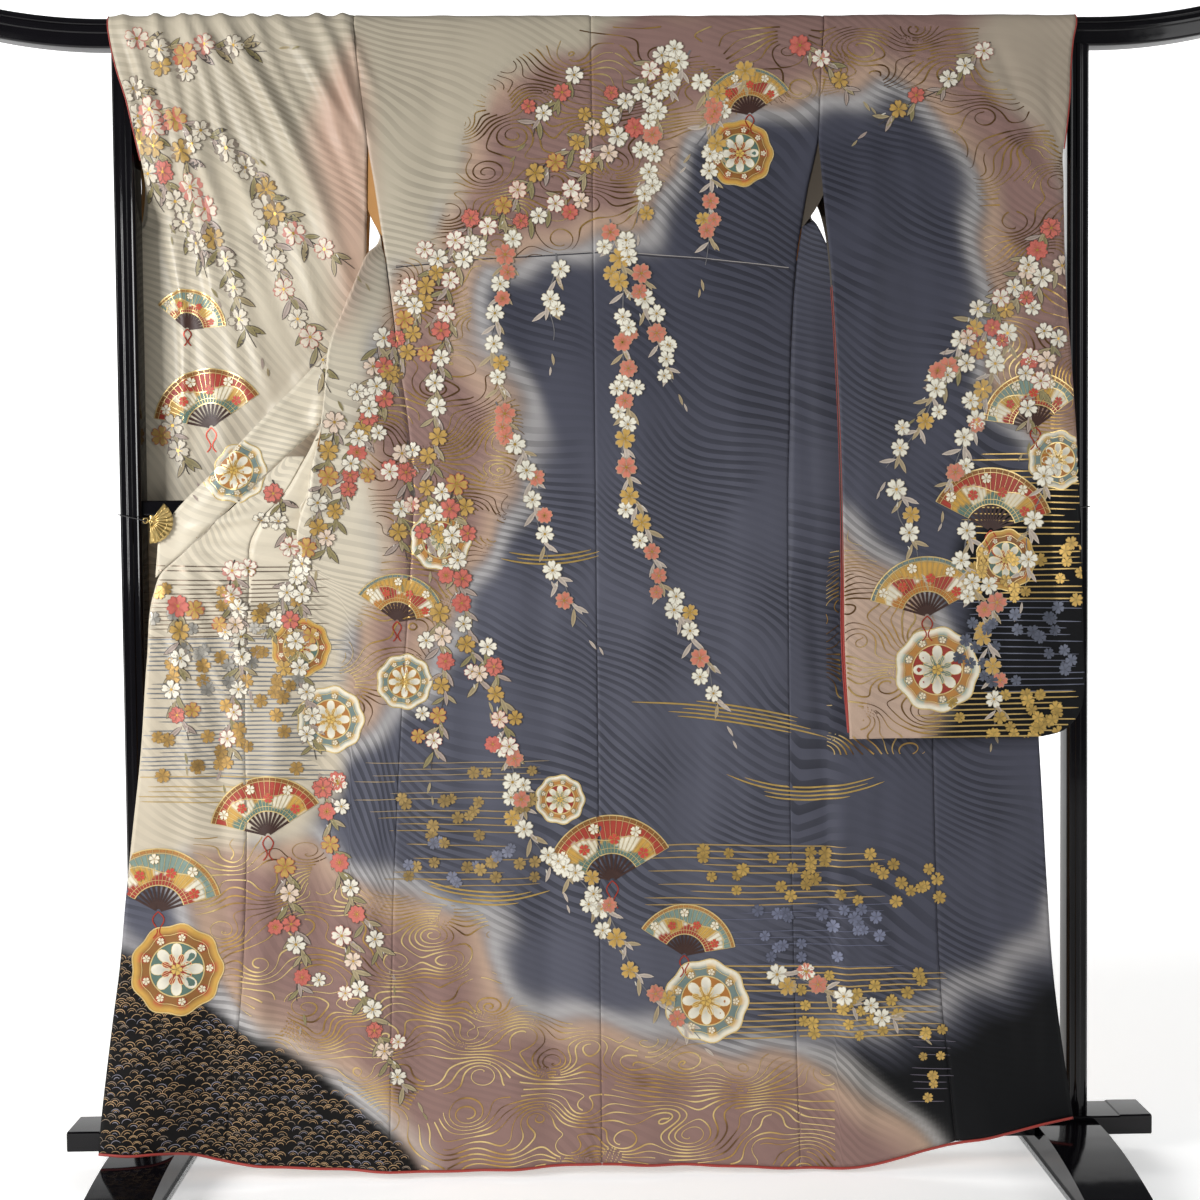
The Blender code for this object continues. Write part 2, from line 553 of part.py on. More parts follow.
def build_post(side, name, finish):
    centre = side * (POST_INNER + POST_WIDTH / 2)
    foot = BEAM_TOP + SEAM
    top = RAIL_TOP - RAIL_HEIGHT - SEAM
    loft(name, [eight_sided(centre, POST_WIDTH, POST_DEPTH, 0.004, z) for z in (foot, top)], finish)


def build_crossbar(finish):
    half_height = (BAR_TOP - BAR_BOTTOM) / 2
    middle = (BAR_TOP + BAR_BOTTOM) / 2
    end = POST_INNER - SEAM
    c = 0.003
    d, h = BAR_DEPTH / 2, half_height
    corners = ((-d + c, -h), (d - c, -h), (d, -h + c), (d, h - c),
               (d - c, h), (-d + c, h), (-d, h - c), (-d, -h + c))
    loft("crossbar_mid", [[(x, y, middle + z) for y, z in corners] for x in (-end, end)], finish)


def build_beam(finish):
    """The lower beam, a flat plank whose ends beyond the feet are slightly thicker."""
    step = 0.735
    raised = 0.0016
    d = BEAM_DEPTH / 2
    c = 0.002

    def section(x, top):
        return [(x, -d, BEAM_BOTTOM), (x, d, BEAM_BOTTOM), (x, d, top - c), (x, d - c, top), (x, -d + c, top),
                (x, -d, top - c)]
    tops = ((-BEAM_HALF, raised), (-step, raised), (-step + 0.002, 0), (step - 0.002, 0), (step, raised),
            (BEAM_HALF, raised))
    loft("lower_beam", [section(x, BEAM_TOP + lift) for x, lift in tops], finish)


def build_foot(side, name, finish):
    """An arched foot that runs front to back, its top edges eased, cut out for the beam that crosses it."""
    arch = ((0.290, 0.008), (0.270, 0.017), (0.240, 0.027), (0.200, 0.037), (0.160, 0.045), (0.120, 0.0505),
            (0.080, 0.053))
    notch = BEAM_DEPTH / 2 + SEAM
    rising = arch + ((notch, arch[-1][1]), (notch, BEAM_BOTTOM - SEAM))
    length = arch[0][0]
    ease_by = 0.005

    def section(out, lower):
        tops = [(y, z - min(lower, z / 2)) for y, z in rising]
        outline = [(-length, 0), (length, 0)] + tops + [(-y, z) for y, z in reversed(tops)]
        return [(side * out, y, z) for y, z in outline]
    inner, outer = FOOT_INNER, FOOT_INNER + FOOT_WIDTH
    steps = ((inner, ease_by), (inner + ease_by, 0), (outer - ease_by, 0), (outer, ease_by))
    loft(name, [section(out, lower) for out, lower in steps], finish)


def build_clip(side, name, finish):
    """A fan clip: a fan-shaped front jaw with an ear for the string, a plain back jaw and their hinge."""
    pivot_out = collar_out(side, 0.619)
    pivot_z = 0.931
    radius = 0.031
    cloth_y = -0.0515
    front = (cloth_y - 0.0036, cloth_y - 0.0016)
    back = (cloth_y + 0.0016, cloth_y + 0.0030)
    fan = [(pivot_out - radius * math.cos(math.radians(a)), pivot_z + radius * math.sin(math.radians(a)))
           for a in range(-92, 53, 12)]
    ear = [(pivot_out + 0.001, pivot_z + 0.008), (pivot_out + 0.009, pivot_z + 0.006),
           (pivot_out + 0.012, pivot_z + 0.001), (pivot_out + 0.009, pivot_z - 0.004),
           (pivot_out + 0.003, pivot_z - 0.007)]

    def plate(outline, depths):
        shape = bmesh.new()
        corners = [shape.verts.new((side * out, depths[0], z)) for out, z in outline]
        face = shape.faces.new(corners)
        moved = bmesh.ops.extrude_face_region(shape, geom=[face])["geom"]
        bmesh.ops.translate(shape, vec=(0, depths[1] - depths[0], 0),
                            verts=[v for v in moved if isinstance(v, bmesh.types.BMVert)])
        bmesh.ops.recalc_face_normals(shape, faces=shape.faces)
        mesh = bpy.data.meshes.new(name + "_plate")
        shape.to_mesh(mesh)
        shape.free()
        return mesh

    made = bpy.data.objects.new(name, plate(fan + ear, front))
    made.data.materials.append(finish)
    bpy.context.scene.collection.objects.link(made)
    hinge = [(pivot_out + 0.0010, pivot_z - 0.006), (pivot_out + 0.0010, pivot_z + 0.006),
             (pivot_out + 0.0040, pivot_z + 0.005), (pivot_out + 0.0040, pivot_z - 0.005)]
    jaw = [(pivot_out + 0.004, pivot_z - 0.008), (pivot_out - 0.020, pivot_z - 0.010),
           (pivot_out - 0.020, pivot_z + 0.010), (pivot_out + 0.004, pivot_z + 0.008)]
    hole_at = (side * (pivot_out + 0.0075), (front[0] + front[1]) / 2, pivot_z + 0.001)
    joined = (("UNION", plate(hinge, (front[0] + 0.001, back[1] - 0.0004))), ("UNION", plate(jaw, back)))
    for order, (kind, mesh) in enumerate(joined):
        use_tool(made, kind, bpy.data.objects.new(f"{name}_tool_{order}", mesh))
    hole = bmesh.new()
    size = CORD_RADIUS + 0.0006
    bmesh.ops.create_cone(hole, cap_ends=True, segments=10, radius1=size, radius2=size, depth=0.02)
    bmesh.ops.rotate(hole, verts=hole.verts, matrix=Matrix.Rotation(math.radians(90), 3, 'X'))
    bmesh.ops.translate(hole, verts=hole.verts, vec=hole_at)
    mesh = bpy.data.meshes.new(name + "_hole")
    hole.to_mesh(mesh)
    hole.free()
    use_tool(made, "DIFFERENCE", bpy.data.objects.new(name + "_hole", mesh))
    return hole_at


def use_tool(target, kind, tool):
    """Join a shape to an object, or cut it out, and keep the shape itself out of the model."""
    bpy.context.scene.collection.objects.link(tool)
    tool.hide_render = True
    tool.display_type = "WIRE"
    modifier = target.modifiers.new(tool.name, "BOOLEAN")
    modifier.operation = kind
    modifier.solver = "EXACT"
    modifier.object = tool


def build_cord(side, name, hole, finish):
    """A thin string tied in a loop round the post and through the clip's ear."""
    clear = CORD_RADIUS + 0.0004
    inner, outer = POST_INNER - clear, POST_INNER + POST_WIDTH + clear
    deep = POST_DEPTH / 2 + clear
    x, y, z = abs(hole[0]), hole[1], hole[2]
    # out, y, height of the loop's corners, from the ear's far side round the post to its near side
    corners = np.array([(x, y + 0.005, z), (inner, -deep, 0.930), (inner, deep, 0.931), (outer, deep, 0.940),
                        (outer, -deep, 0.942), (x, y - 0.007, z)])
    before, after = np.roll(corners, 1, axis=0), np.roll(corners, -1, axis=0)
    points = [point for triple in zip(before, corners, after)
              for point in round_corner(*triple, 0.0025, (0, 0.25, 0.5, 0.75, 1))]
    curve = bpy.data.curves.new(name, "CURVE")
    curve.dimensions = "3D"
    spline = curve.splines.new("POLY")
    spline.points.add(len(points) - 1)
    for point, (out, depth, height) in zip(spline.points, points):
        point.co = (side * out, depth, height, 1)
    spline.use_cyclic_u = True
    curve.bevel_depth = CORD_RADIUS
    curve.bevel_resolution = 1
    curve.materials.append(finish)
    made = bpy.data.objects.new(name, curve)
    bpy.context.scene.collection.objects.link(made)


def build():
    for old in list(bpy.data.objects):
        bpy.data.objects.remove(old, do_unlink=True)
    lacquer = material("black_lacquered_wood", (0.006, 0.006, 0.007), 0.12)
    silk_left = material("printed_silk_left", (0.62, 0.58, 0.50), 0.45)
    silk_right = material("printed_silk_right", (0.09, 0.10, 0.16), 0.45)
    silk_okumi = material("printed_silk_okumi", (0.50, 0.44, 0.38), 0.45)
    silk_sleeve = material("printed_silk_sleeve", (0.36, 0.30, 0.32), 0.45)
    lining = material("red_silk_lining", (0.45, 0.05, 0.03), 0.5)
    brass = material("brass", (0.70, 0.52, 0.20), 0.3, 1.0)
    string = material("black_string", (0.01, 0.01, 0.01), 0.8)

    build_rail(lacquer)
    build_crossbar(lacquer)
    build_beam(lacquer)
    for side, word in ((-1, "left"), (1, "right")):
        build_post(side, f"post_{word}", lacquer)
        build_foot(side, f"foot_{word}", lacquer)
        body = body_grid(side)
        okumi = okumi_grid(side)
        wall(f"body_{word}", body, silk_left if side < 0 else silk_right)
        wall(f"okumi_{word}", okumi, silk_okumi)
        sleeve = sleeve_grid(side)
        wall(f"sleeve_{word}", sleeve, silk_sleeve)
        build_hem_roll(f"hem_roll_{word}", body, okumi, lining)
        build_cuff_roll(side, f"cuff_roll_{word}", sleeve, lining)
        hole = build_clip(side, f"clip_{word}", brass)
        build_cord(side, f"cord_loop_{word}", hole, string)
    build_collar("collar", silk_left)


build()
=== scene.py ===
# %% [markdown]
# # A silk furisode on a black lacquered stand
# A furisode is the most formal kimono of a young woman, with sleeves that reach almost to the hem. Here it
# hangs over the rail of its stand and shows its back, and its two fronts are drawn out to the sides. We load
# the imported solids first. They stay as they are, and every piece below is made in the same metres, +Z up.

# %% Load the frame
import math

import bmesh
import bpy
import numpy as np
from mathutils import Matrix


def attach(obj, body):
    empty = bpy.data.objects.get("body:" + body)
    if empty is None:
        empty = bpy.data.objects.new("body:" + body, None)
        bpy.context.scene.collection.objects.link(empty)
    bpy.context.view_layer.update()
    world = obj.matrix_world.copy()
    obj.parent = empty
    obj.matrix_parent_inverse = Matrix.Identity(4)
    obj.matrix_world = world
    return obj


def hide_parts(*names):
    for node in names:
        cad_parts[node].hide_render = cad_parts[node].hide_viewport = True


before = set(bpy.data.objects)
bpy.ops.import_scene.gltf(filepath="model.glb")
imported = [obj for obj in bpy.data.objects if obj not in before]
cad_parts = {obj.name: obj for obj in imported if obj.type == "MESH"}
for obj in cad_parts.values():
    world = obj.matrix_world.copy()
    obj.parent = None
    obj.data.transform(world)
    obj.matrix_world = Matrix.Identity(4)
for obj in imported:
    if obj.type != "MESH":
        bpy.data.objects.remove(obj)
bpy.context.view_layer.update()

# %% [markdown]
# ## Helpers
# Every surface here is a grid of points worked out with numpy. One function puts such a grid into a mesh, one
# turns a paint chip's hex code into the linear numbers that Blender mixes, and one adds a shader node.

# %% Colours and nodes
SIDES = ((-1, "left"), (1, "right"))


def linear(code):
    """A hex code as linear red, green, blue: c / 12.92 when dark, else ((c + 0.055) / 1.055) to the 2.4."""
    channels = np.array([int(code[i:i + 2], 16) / 255 for i in (1, 3, 5)])
    return np.where(channels <= 0.04045, channels / 12.92, ((channels + 0.055) / 1.055) ** 2.4)


def start_material(name):
    """An empty material, and the Principled shader that feeds its output."""
    made = bpy.data.materials.new(name)
    made.use_nodes = True
    return made, made.node_tree.nodes["Principled BSDF"]


def feed(made, node, inputs):
    """Give sockets, by name or number, a value or an output. A node stands for its own first output."""
    for socket, value in inputs.items():
        value = value.outputs[0] if isinstance(value, bpy.types.Node) else value
        if isinstance(value, bpy.types.NodeSocket):
            made.node_tree.links.new(value, node.inputs[socket])
        else:
            node.inputs[socket].default_value = value


def add_node(made, kind, inputs, **settings):
    """Add one shader node with its options and its inputs."""
    node = made.node_tree.nodes.new("ShaderNode" + kind)
    for key, value in settings.items():
        setattr(node, key, value)
    feed(made, node, inputs)
    return node


# %% Meshes


def new_object(name, points, faces):
    """An object in the scene with a new mesh of these points and faces."""
    mesh = bpy.data.meshes.new(name)
    mesh.from_pydata(points.tolist(), [], faces if isinstance(faces, list) else faces.tolist())
    mesh.update()
    made = bpy.data.objects.new(name, mesh)
    bpy.context.scene.collection.objects.link(made)
    return made


def put_mesh(name, points, faces, materials, slots=None):
    """A smooth mesh object that rides on the part."""
    made = new_object(name, points, faces)
    for material in materials:
        made.data.materials.append(material)
    if slots is not None:
        made.data.polygons.foreach_set("material_index", np.asarray(slots, dtype=np.int32))
    made.data.polygons.foreach_set("use_smooth", np.full(len(made.data.polygons), True))
    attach(made, "root")
    return made


def stand_for(node):
    """Hide a solid, so that the object made in its place shows instead."""
    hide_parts(node)


def store_colours(made, name, colours):
    """Keep one linear colour, with its fourth channel, for each point of a mesh."""
    layer = made.data.color_attributes.new(name, "FLOAT_COLOR", "POINT")
    layer.data.foreach_set("color", np.asarray(colours, dtype=np.float32).ravel())


def store_map(made, name, pair_of):
    """Give a mesh a UV map: pair_of turns the point numbers of its corners into their two coordinates."""
    corners = np.empty(len(made.data.loops), dtype=np.int32)
    made.data.loops.foreach_get("vertex_index", corners)
    pairs = pair_of(corners).astype(np.float32)
    made.data.uv_layers.new(name=name).data.foreach_set("uv", pairs.ravel())


# %% Grids


def join(*parts):
    """Points from their coordinates, each an array or one number for all."""
    return np.stack(np.broadcast_arrays(*parts), axis=-1)


def unit(vectors):
    """Vectors over their own lengths."""
    return vectors / np.linalg.norm(vectors, axis=-1, keepdims=True)


def grid_faces(rows, columns, around=False):
    """Quads between the neighbours of a grid, also from its last column to its first if it goes around."""
    index = np.arange(rows * columns).reshape(rows, columns)
    if around:
        index = np.concatenate([index, index[:, :1]], axis=1)
    return np.stack([index[:-1, :-1], index[:-1, 1:], index[1:, 1:], index[1:, :-1]], axis=-1).reshape(-1, 4)


def normals(grid):
    """Unit vectors square to a grid: the cross product of its steps along the rows and along the columns."""
    return unit(np.cross(np.gradient(grid, axis=0), np.gradient(grid, axis=1)))


def lengths(points, axis):
    """Distance along a grid from its first row or column, as the mean over the other direction."""
    steps = np.linalg.norm(np.diff(points, axis=axis), axis=2).mean(axis=1 - axis)
    return np.concatenate([[0], np.cumsum(steps)])


def cubic(t, span, ends, slopes):
    """Value at share t of a cubic piece that runs from a to b with the slopes u and v.

    (2t3 - 3t2 + 1) a + (t3 - 2t2 + t) span u + (3t2 - 2t3) b + (t3 - t2) span v
    """
    (a, b), (u, v) = ends, slopes
    return ((2 * t**3 - 3 * t**2 + 1) * a + (t**3 - 2 * t**2 + t) * span * u
            + (3 * t**2 - 2 * t**3) * b + (t**3 - t**2) * span * v)


def refine(points, count, axis):
    """Resample a grid along one axis to even steps, by cubic pieces whose slope at a row is the mean of the two
    steps beside it, each weighted by the other's length."""
    keys = lengths(points, axis)
    at = np.linspace(0, keys[-1], count)
    values = np.moveaxis(points, axis, 0)
    span = np.diff(keys)[:, None, None]
    chord = np.diff(values, axis=0) / span
    inner = (span[1:] * chord[:-1] + span[:-1] * chord[1:]) / (span[1:] + span[:-1])
    slope = np.concatenate([chord[:1], inner, chord[-1:]])
    i = np.clip(np.searchsorted(keys, at) - 1, 0, len(keys) - 2)
    t = ((at - keys[i]) / span[i, 0, 0])[:, None, None]
    found = cubic(t, span[i], (values[i], values[i + 1]), (slope[i], slope[i + 1]))
    return np.moveaxis(found, 0, axis)


# %% [markdown]
# ## The form of the cloth
# A kimono is cut from straight lengths of silk about 36 cm wide, so each panel is a grid of rows and columns.
# The tables below give its edges, its folds and how far it hangs from the rail, the same sizes as the solid
# has. A fold is drawn as straight legs from guide to guide with their corners rounded, as a pressed crease
# that has relaxed would be. An "out" is a distance from the stand's middle, left for side -1, right for +1.

# %% Sizes of the garment
SEAM = 0.0003            # gap between pieces that are sewn or joined
CENTRE_X = -0.017        # the garment hangs a little to the left of the stand's middle
RAIL_TOP = 1.640
RAIL_HEIGHT = 0.042
RAIL_HALF = 0.925        # half of the rail's length
RAIL_STRAIGHT = 0.70     # the ends turn up beyond this
RAIL_RISE = 0.64         # rise of the ends for each squared metre past the straight part
POST_INNER = 0.661
POST_WIDTH = 0.031
POST_DEPTH = 0.036
BEAM_HALF = 0.781
BEAM_BOTTOM = 0.033
BEAM_TOP = 0.060
BEAM_DEPTH = 0.059
FOOT_INNER = 0.610
FOOT_WIDTH = 0.090
BAR_BOTTOM = 0.939
BAR_TOP = 0.962
BAR_DEPTH = 0.020
FUKI = 0.0040            # height of the lining rolled out past the hem
CORD_RADIUS = 0.0008
FOLD_RADIUS = 0.012      # the cloth's bend over each upper corner of the rail
FOLD_CENTRE = (0.007, 1.630)
LEVEL_FROM = 0.30        # above this height the rows of cloth are level, below it they fan to the hem

# Side edge of each back: height, out on the left, out on the right
SIDE_EDGE = (
    (0.00, 0.315, 0.264), (0.20, 0.311, 0.259), (0.40, 0.306, 0.255), (0.55, 0.298, 0.253),
    (0.70, 0.289, 0.253), (0.85, 0.278, 0.253), (0.97, 0.272, 0.254), (1.06, 0.278, 0.257),
    (1.15, 0.290, 0.259), (1.23, 0.299, 0.263), (1.30, 0.308, 0.270), (1.34, 0.314, 0.2765),
    (1.40, 0.3225, 0.2875), (1.46, 0.332, 0.3015), (1.56, 0.344, 0.307), (1.63, 0.351, 0.313),
)
# Inner edge of each sleeve: height, out on the left, out on the right
SLEEVE_INNER = (
    (0.62, 0.345, 0.332), (0.75, 0.345, 0.325), (0.95, 0.345, 0.323), (1.09, 0.344, 0.319),
    (1.185, 0.343, 0.315), (1.275, 0.341, 0.310), (1.38, 0.336, 0.303), (1.46, 0.332, 0.3015),
    (1.56, 0.344, 0.307), (1.63, 0.351, 0.313),
)
# Free edge of each front under the arm, from the side seam's top to the sleeve: height, out, y
UNDERARM = {
    -1: ((1.300, 0.308, -0.039), (1.330, 0.316, -0.022), (1.360, 0.325, -0.002), (1.390, 0.332, 0.018),
         (1.420, 0.334, 0.0215)),
    1: ((1.337, 0.2765, -0.038), (1.355, 0.287, -0.020), (1.375, 0.298, 0.000), (1.395, 0.302, 0.018),
        (1.420, 0.3025, 0.0215)),
}
# Hem, all the way across: x, height of the lowest edge
HEM = (
    (-0.705, 0.061), (-0.66, 0.0575), (-0.625, 0.0562), (-0.605, 0.0540), (-0.592, 0.048), (-0.567, 0.036),
    (-0.545, 0.030),
    (-0.47, 0.022), (-0.379, 0.016), (-0.315, 0.013), (-0.245, 0.011), (-0.13, 0.014), (-0.02, 0.018),
    (0.08, 0.015), (0.184, 0.012), (0.265, 0.007), (0.30, 0.006), (0.358, 0.010), (0.42, 0.024),
    (0.483, 0.039), (0.555, 0.051), (0.644, 0.072),
)
# Seam between front and okumi: height, out on the left, out on the right
OKUMI_SEAM = (
    (0.00, 0.548, 0.484), (0.13, 0.534, 0.474), (0.26, 0.520, 0.464), (0.40, 0.512, 0.459),
    (0.54, 0.509, 0.457), (0.68, 0.512, 0.455), (0.78, 0.505, 0.455), (0.897, 0.500, 0.452),
    (0.98, 0.444, 0.410), (1.071, 0.394, 0.360),
)
# Free edge of each okumi: height, out on the left, out on the right
OKUMI_EDGE = (
    (0.00, 0.708, 0.652), (0.13, 0.700, 0.638), (0.25, 0.692, 0.627), (0.43, 0.676, 0.616),
    (0.55, 0.662, 0.610), (0.65, 0.651, 0.604), (0.73, 0.645, 0.600), (0.80, 0.637, 0.596),
    (0.852, 0.632, 0.598),
)
# Folds of the left front as a section's four inner guide points, each an out and a depth from
# the hanging plane. The cloth runs from the side seam past them to the okumi or collar seam.
# height | crest | behind the crest | return | behind the return
FRONT_FOLDS = (
    (0.00, 0.370, 0.0, 0.400, 0.0, 0.450, 0.0, 0.490, 0.0),
    (0.80, 0.340, 0.0, 0.380, 0.0, 0.420, 0.0, 0.460, 0.0),
    (0.86, 0.405, -0.008, 0.418, -0.004, 0.432, 0.000, 0.450, 0.002),
    (0.91, 0.431, -0.018, 0.431, -0.010, 0.412, -0.006, 0.415, 0.002),
    (0.96, 0.415, -0.020, 0.415, -0.011, 0.390, -0.006, 0.392, 0.002),
    (1.03, 0.403, -0.022, 0.403, -0.012, 0.370, -0.006, 0.372, 0.002),
    (1.07, 0.395, -0.023, 0.395, -0.013, 0.350, -0.006, 0.352, 0.003),
    (1.105, 0.391, -0.024, 0.391, -0.014, 0.330, -0.003, 0.332, 0.006),
    (1.14, 0.387, -0.025, 0.387, -0.015, 0.318, 0.000, 0.318, 0.010),
    (1.17, 0.383, -0.025, 0.383, -0.015, 0.312, 0.004, 0.308, 0.015),
    (1.20, 0.373, -0.025, 0.372, -0.015, 0.312, 0.009, 0.302, 0.022),
    (1.23, 0.358, -0.024, 0.356, -0.014, 0.314, 0.013, 0.297, 0.030),
    (1.26, 0.348, -0.022, 0.345, -0.012, 0.312, 0.020, 0.288, 0.040),
    (1.30, 0.331, -0.013, 0.331, -0.003, 0.306, 0.024, 0.275, 0.048),
    (1.32, 0.321, 0.014, 0.316, 0.024, 0.303, 0.036, 0.265, 0.053),
    (1.34, 0.317, 0.031, 0.308, 0.041, 0.293, 0.048, 0.255, 0.056),
    (1.36, 0.316, 0.045, 0.300, 0.050, 0.275, 0.056, 0.240, 0.059),
    (1.39, 0.305, 0.056, 0.280, 0.058, 0.255, 0.0595, 0.215, 0.060),
)
FOLD_TOP = 1.39          # above this a front hangs straight down the far side
RIGHT_FOLD_INSET = 0.012 # the right fold lies nearer the back low down
RIGHT_FOLD_DEPTH = 0.85  # and is shallower, under the sleeve that lies on it
RIGHT_FOLD_LIFT = 0.035  # and its top part sits higher
SIDE_KINK = 0.0009       # room for the wall's thickness where a front bends forward at its side seam
# Collar, from its left end to the middle of the neck, as distances from the garment's centre line:
# seam out, height, y | free edge out, height, y
COLLAR = (
    (0.615, 0.852, -0.0515, 0.610, 0.914, -0.0515),
    (0.558, 0.903, -0.0515, 0.583, 0.949, -0.0515),
    (0.498, 0.959, -0.050, 0.538, 0.995, -0.049),
    (0.438, 1.015, -0.048, 0.483, 1.052, -0.047),
    (0.377, 1.071, -0.046, 0.424, 1.113, -0.045),
    (0.345, 1.108, -0.043, 0.388, 1.150, -0.041),
    (0.321, 1.142, -0.036, 0.358, 1.181, -0.031),
    (0.298, 1.178, -0.022, 0.323, 1.216, -0.006),
    (0.273, 1.220, -0.003, 0.285, 1.255, 0.022),
    (0.245, 1.268, 0.012, 0.245, 1.297, 0.042),
    (0.215, 1.318, 0.020, 0.202, 1.343, 0.048),
    (0.181, 1.370, 0.0235, 0.155, 1.393, 0.046),
    (0.146, 1.425, 0.0245, 0.107, 1.447, 0.038),
    (0.115, 1.480, 0.0245, 0.066, 1.496, 0.031),
    (0.096, 1.535, 0.0240, 0.042, 1.533, 0.0275),
    (0.090, 1.575, 0.0235, 0.036, 1.543, 0.0270),
    (0.078, 1.5850, 0.0230, 0.032, 1.542, 0.0265),
    (0.043, 1.5885, 0.0225, 0.018, 1.541, 0.0260),
    (0.000, 1.5925, 0.0225, 0.000, 1.540, 0.0260),
)
COLLAR_RISING = 16       # stations from the end to where the band turns across the neck
COLLAR_TWIST = 0.0019    # the band stands off its seam where it twists over
# Depth of each sleeve's two layers and its outer edge:
# height | y of the near layer at its inner and outer edge | the same of the far layer | out of both
SLEEVE = {
    -1: ((0.62, 0.0247, 0.0262, 0.0273, 0.0288, 0.690, 0.690),
         (0.70, 0.0160, 0.0262, 0.0310, 0.0288, 0.690, 0.690),
         (1.00, 0.0140, 0.0262, 0.0300, 0.0288, 0.690, 0.690),
         (1.20, 0.0090, 0.0262, 0.0280, 0.0288, 0.690, 0.690),
         (1.30, -0.0020, 0.0260, 0.0240, 0.0286, 0.688, 0.689),
         (1.34, -0.0080, 0.0250, 0.0225, 0.0278, 0.678, 0.680),
         (1.365, -0.0115, 0.0225, 0.0225, 0.0262, 0.658, 0.670),
         (1.38, -0.0140, 0.0150, 0.0225, 0.0255, 0.655, 0.667),
         (1.41, -0.0215, -0.0040, 0.0220, 0.0240, 0.650, 0.664),
         (1.44, -0.0290, -0.0160, 0.0220, 0.0230, 0.651, 0.664),
         (1.46, -0.0322, -0.0195, 0.0218, 0.0222, 0.6555, 0.668),
         (1.53, -0.0287, -0.0205, 0.0208, 0.0210, 0.671, 0.678),
         (1.58, -0.0258, -0.0205, 0.0200, 0.0205, 0.686, 0.688),
         (1.605, -0.0237, -0.0205, 0.0196, 0.0205, 0.690, 0.691)),
    1: ((0.62, -0.0870, -0.0860, -0.0844, -0.0834, 0.660, 0.660),
        (0.70, -0.0900, -0.0850, -0.0760, -0.0824, 0.660, 0.660),
        (1.00, -0.0880, -0.0830, -0.0730, -0.0804, 0.652, 0.652),
        (1.20, -0.0820, -0.0790, -0.0690, -0.0764, 0.640, 0.640),
        (1.30, -0.0740, -0.0740, -0.0610, -0.0714, 0.636, 0.636),
        (1.32, -0.0710, -0.0730, -0.0560, -0.0704, 0.636, 0.636),
        (1.34, -0.0680, -0.0720, -0.0440, -0.0694, 0.636, 0.636),
        (1.36, -0.0640, -0.0705, -0.0260, -0.0675, 0.636, 0.636),
        (1.38, -0.0590, -0.0690, 0.0000, -0.0640, 0.6365, 0.6365),
        (1.40, -0.0530, -0.0670, 0.0200, -0.0570, 0.637, 0.637),
        (1.43, -0.0440, -0.0610, 0.0215, -0.0360, 0.638, 0.638),
        (1.466, -0.0325, -0.0530, 0.0215, -0.0100, 0.645, 0.643),
        (1.52, -0.0293, -0.0420, 0.0207, 0.0130, 0.654, 0.652),
        (1.57, -0.0263, -0.0290, 0.0200, 0.0198, 0.660, 0.6590),
        (1.605, -0.0237, -0.0215, 0.0196, 0.0202, 0.666, 0.664)),
}
SLEEVE_TOP_EDGE = {-1: 0.693, 1: 0.671}
SLEEVE_CORNER = 0.060    # radius of the rounded lower outer corner
SLEEVE_BOTTOM = 0.620
SLEEVE_SEWN = 1.46       # the sleeve is sewn to the back from here up
CUFF_END = 1.435         # the cuff opening runs from here over the rail to here

# Rows of cloth, as heights from the hem up. Pieces that share a seam share its rows.
LEVELS = (0.0, 0.06, 0.14, 0.22, 0.3, 0.4, 0.5, 0.62, 0.74, 0.83, 0.86, 0.88, 0.89, 0.9, 0.93, 0.97, 1.02,
          1.06, 1.1, 1.135, 1.165, 1.19, 1.215, 1.24, 1.27, 1.3, 1.32, 1.337, 1.355, 1.365, 1.375, 1.395,
          1.425, 1.46, 1.49, 1.525, 1.56, 1.605)
NECK_ROWS = (1.605, 1.597)      # rows past the rail that still reach the centre
NECK_POINT = 1.588              # first row of the front alone, where the neckline meets its edge
SLEEVE_ROWS = (0.62, 0.627, 0.64, 0.66, 0.68, 0.74, 0.86, 1.0, 1.12, 1.22, 1.29, 1.32, 1.34, 1.36, 1.38, 1.4,
               1.425, 1.46, 1.49, 1.525, 1.56, 1.605)
BODY_COLUMNS = 13
OKUMI_COLUMNS = 5
OKUMI_TOP = 1.03         # the point under the collar stops where it is too narrow to hold a row
SLEEVE_COLUMNS = 7

# %% How the cloth hangs


def read(table, column, at):
    """Value of a table's column at a height: cubic pieces that never pass beyond the rows they join."""
    keys = np.array([row[0] for row in table])
    values = np.array([row[column] for row in table])
    chord = np.diff(values) / np.diff(keys)
    before, after = chord[:-1], chord[1:]
    same_way = before * after > 0
    inner = np.where(same_way, 2 * before * after / np.where(same_way, before + after, 1), 0)
    slope = np.concatenate([chord[:1], inner, chord[-1:]])
    at = np.clip(at, keys[0], keys[-1])
    i = np.clip(np.searchsorted(keys, at) - 1, 0, len(keys) - 2)
    span = keys[i + 1] - keys[i]
    return cubic((at - keys[i]) / span, span, (values[i], values[i + 1]), (slope[i], slope[i + 1]))


def ease(value, start, end):
    """Nought before start, one after end, and a smooth step between them."""
    t = np.clip((value - start) / (end - start), 0, 1)
    return t * t * (3 - 2 * t)


def side_column(side):
    """Column of a two-sided table that holds this side's values."""
    return 1 if side < 0 else 2


def hang(z):
    """Depth of the near side's hanging plane: it starts at the rail and drifts forward to the hem."""
    return -0.020 - 0.050 * (np.clip(1.62 - z, 0, None) / 1.62) ** 0.6


def far_hang(z):
    """Depth of the cloth that hangs down the far side of the rail."""
    return 0.0192 + 0.0052 * np.clip((1.62 - z) / 0.22, 0, 1) ** 0.7


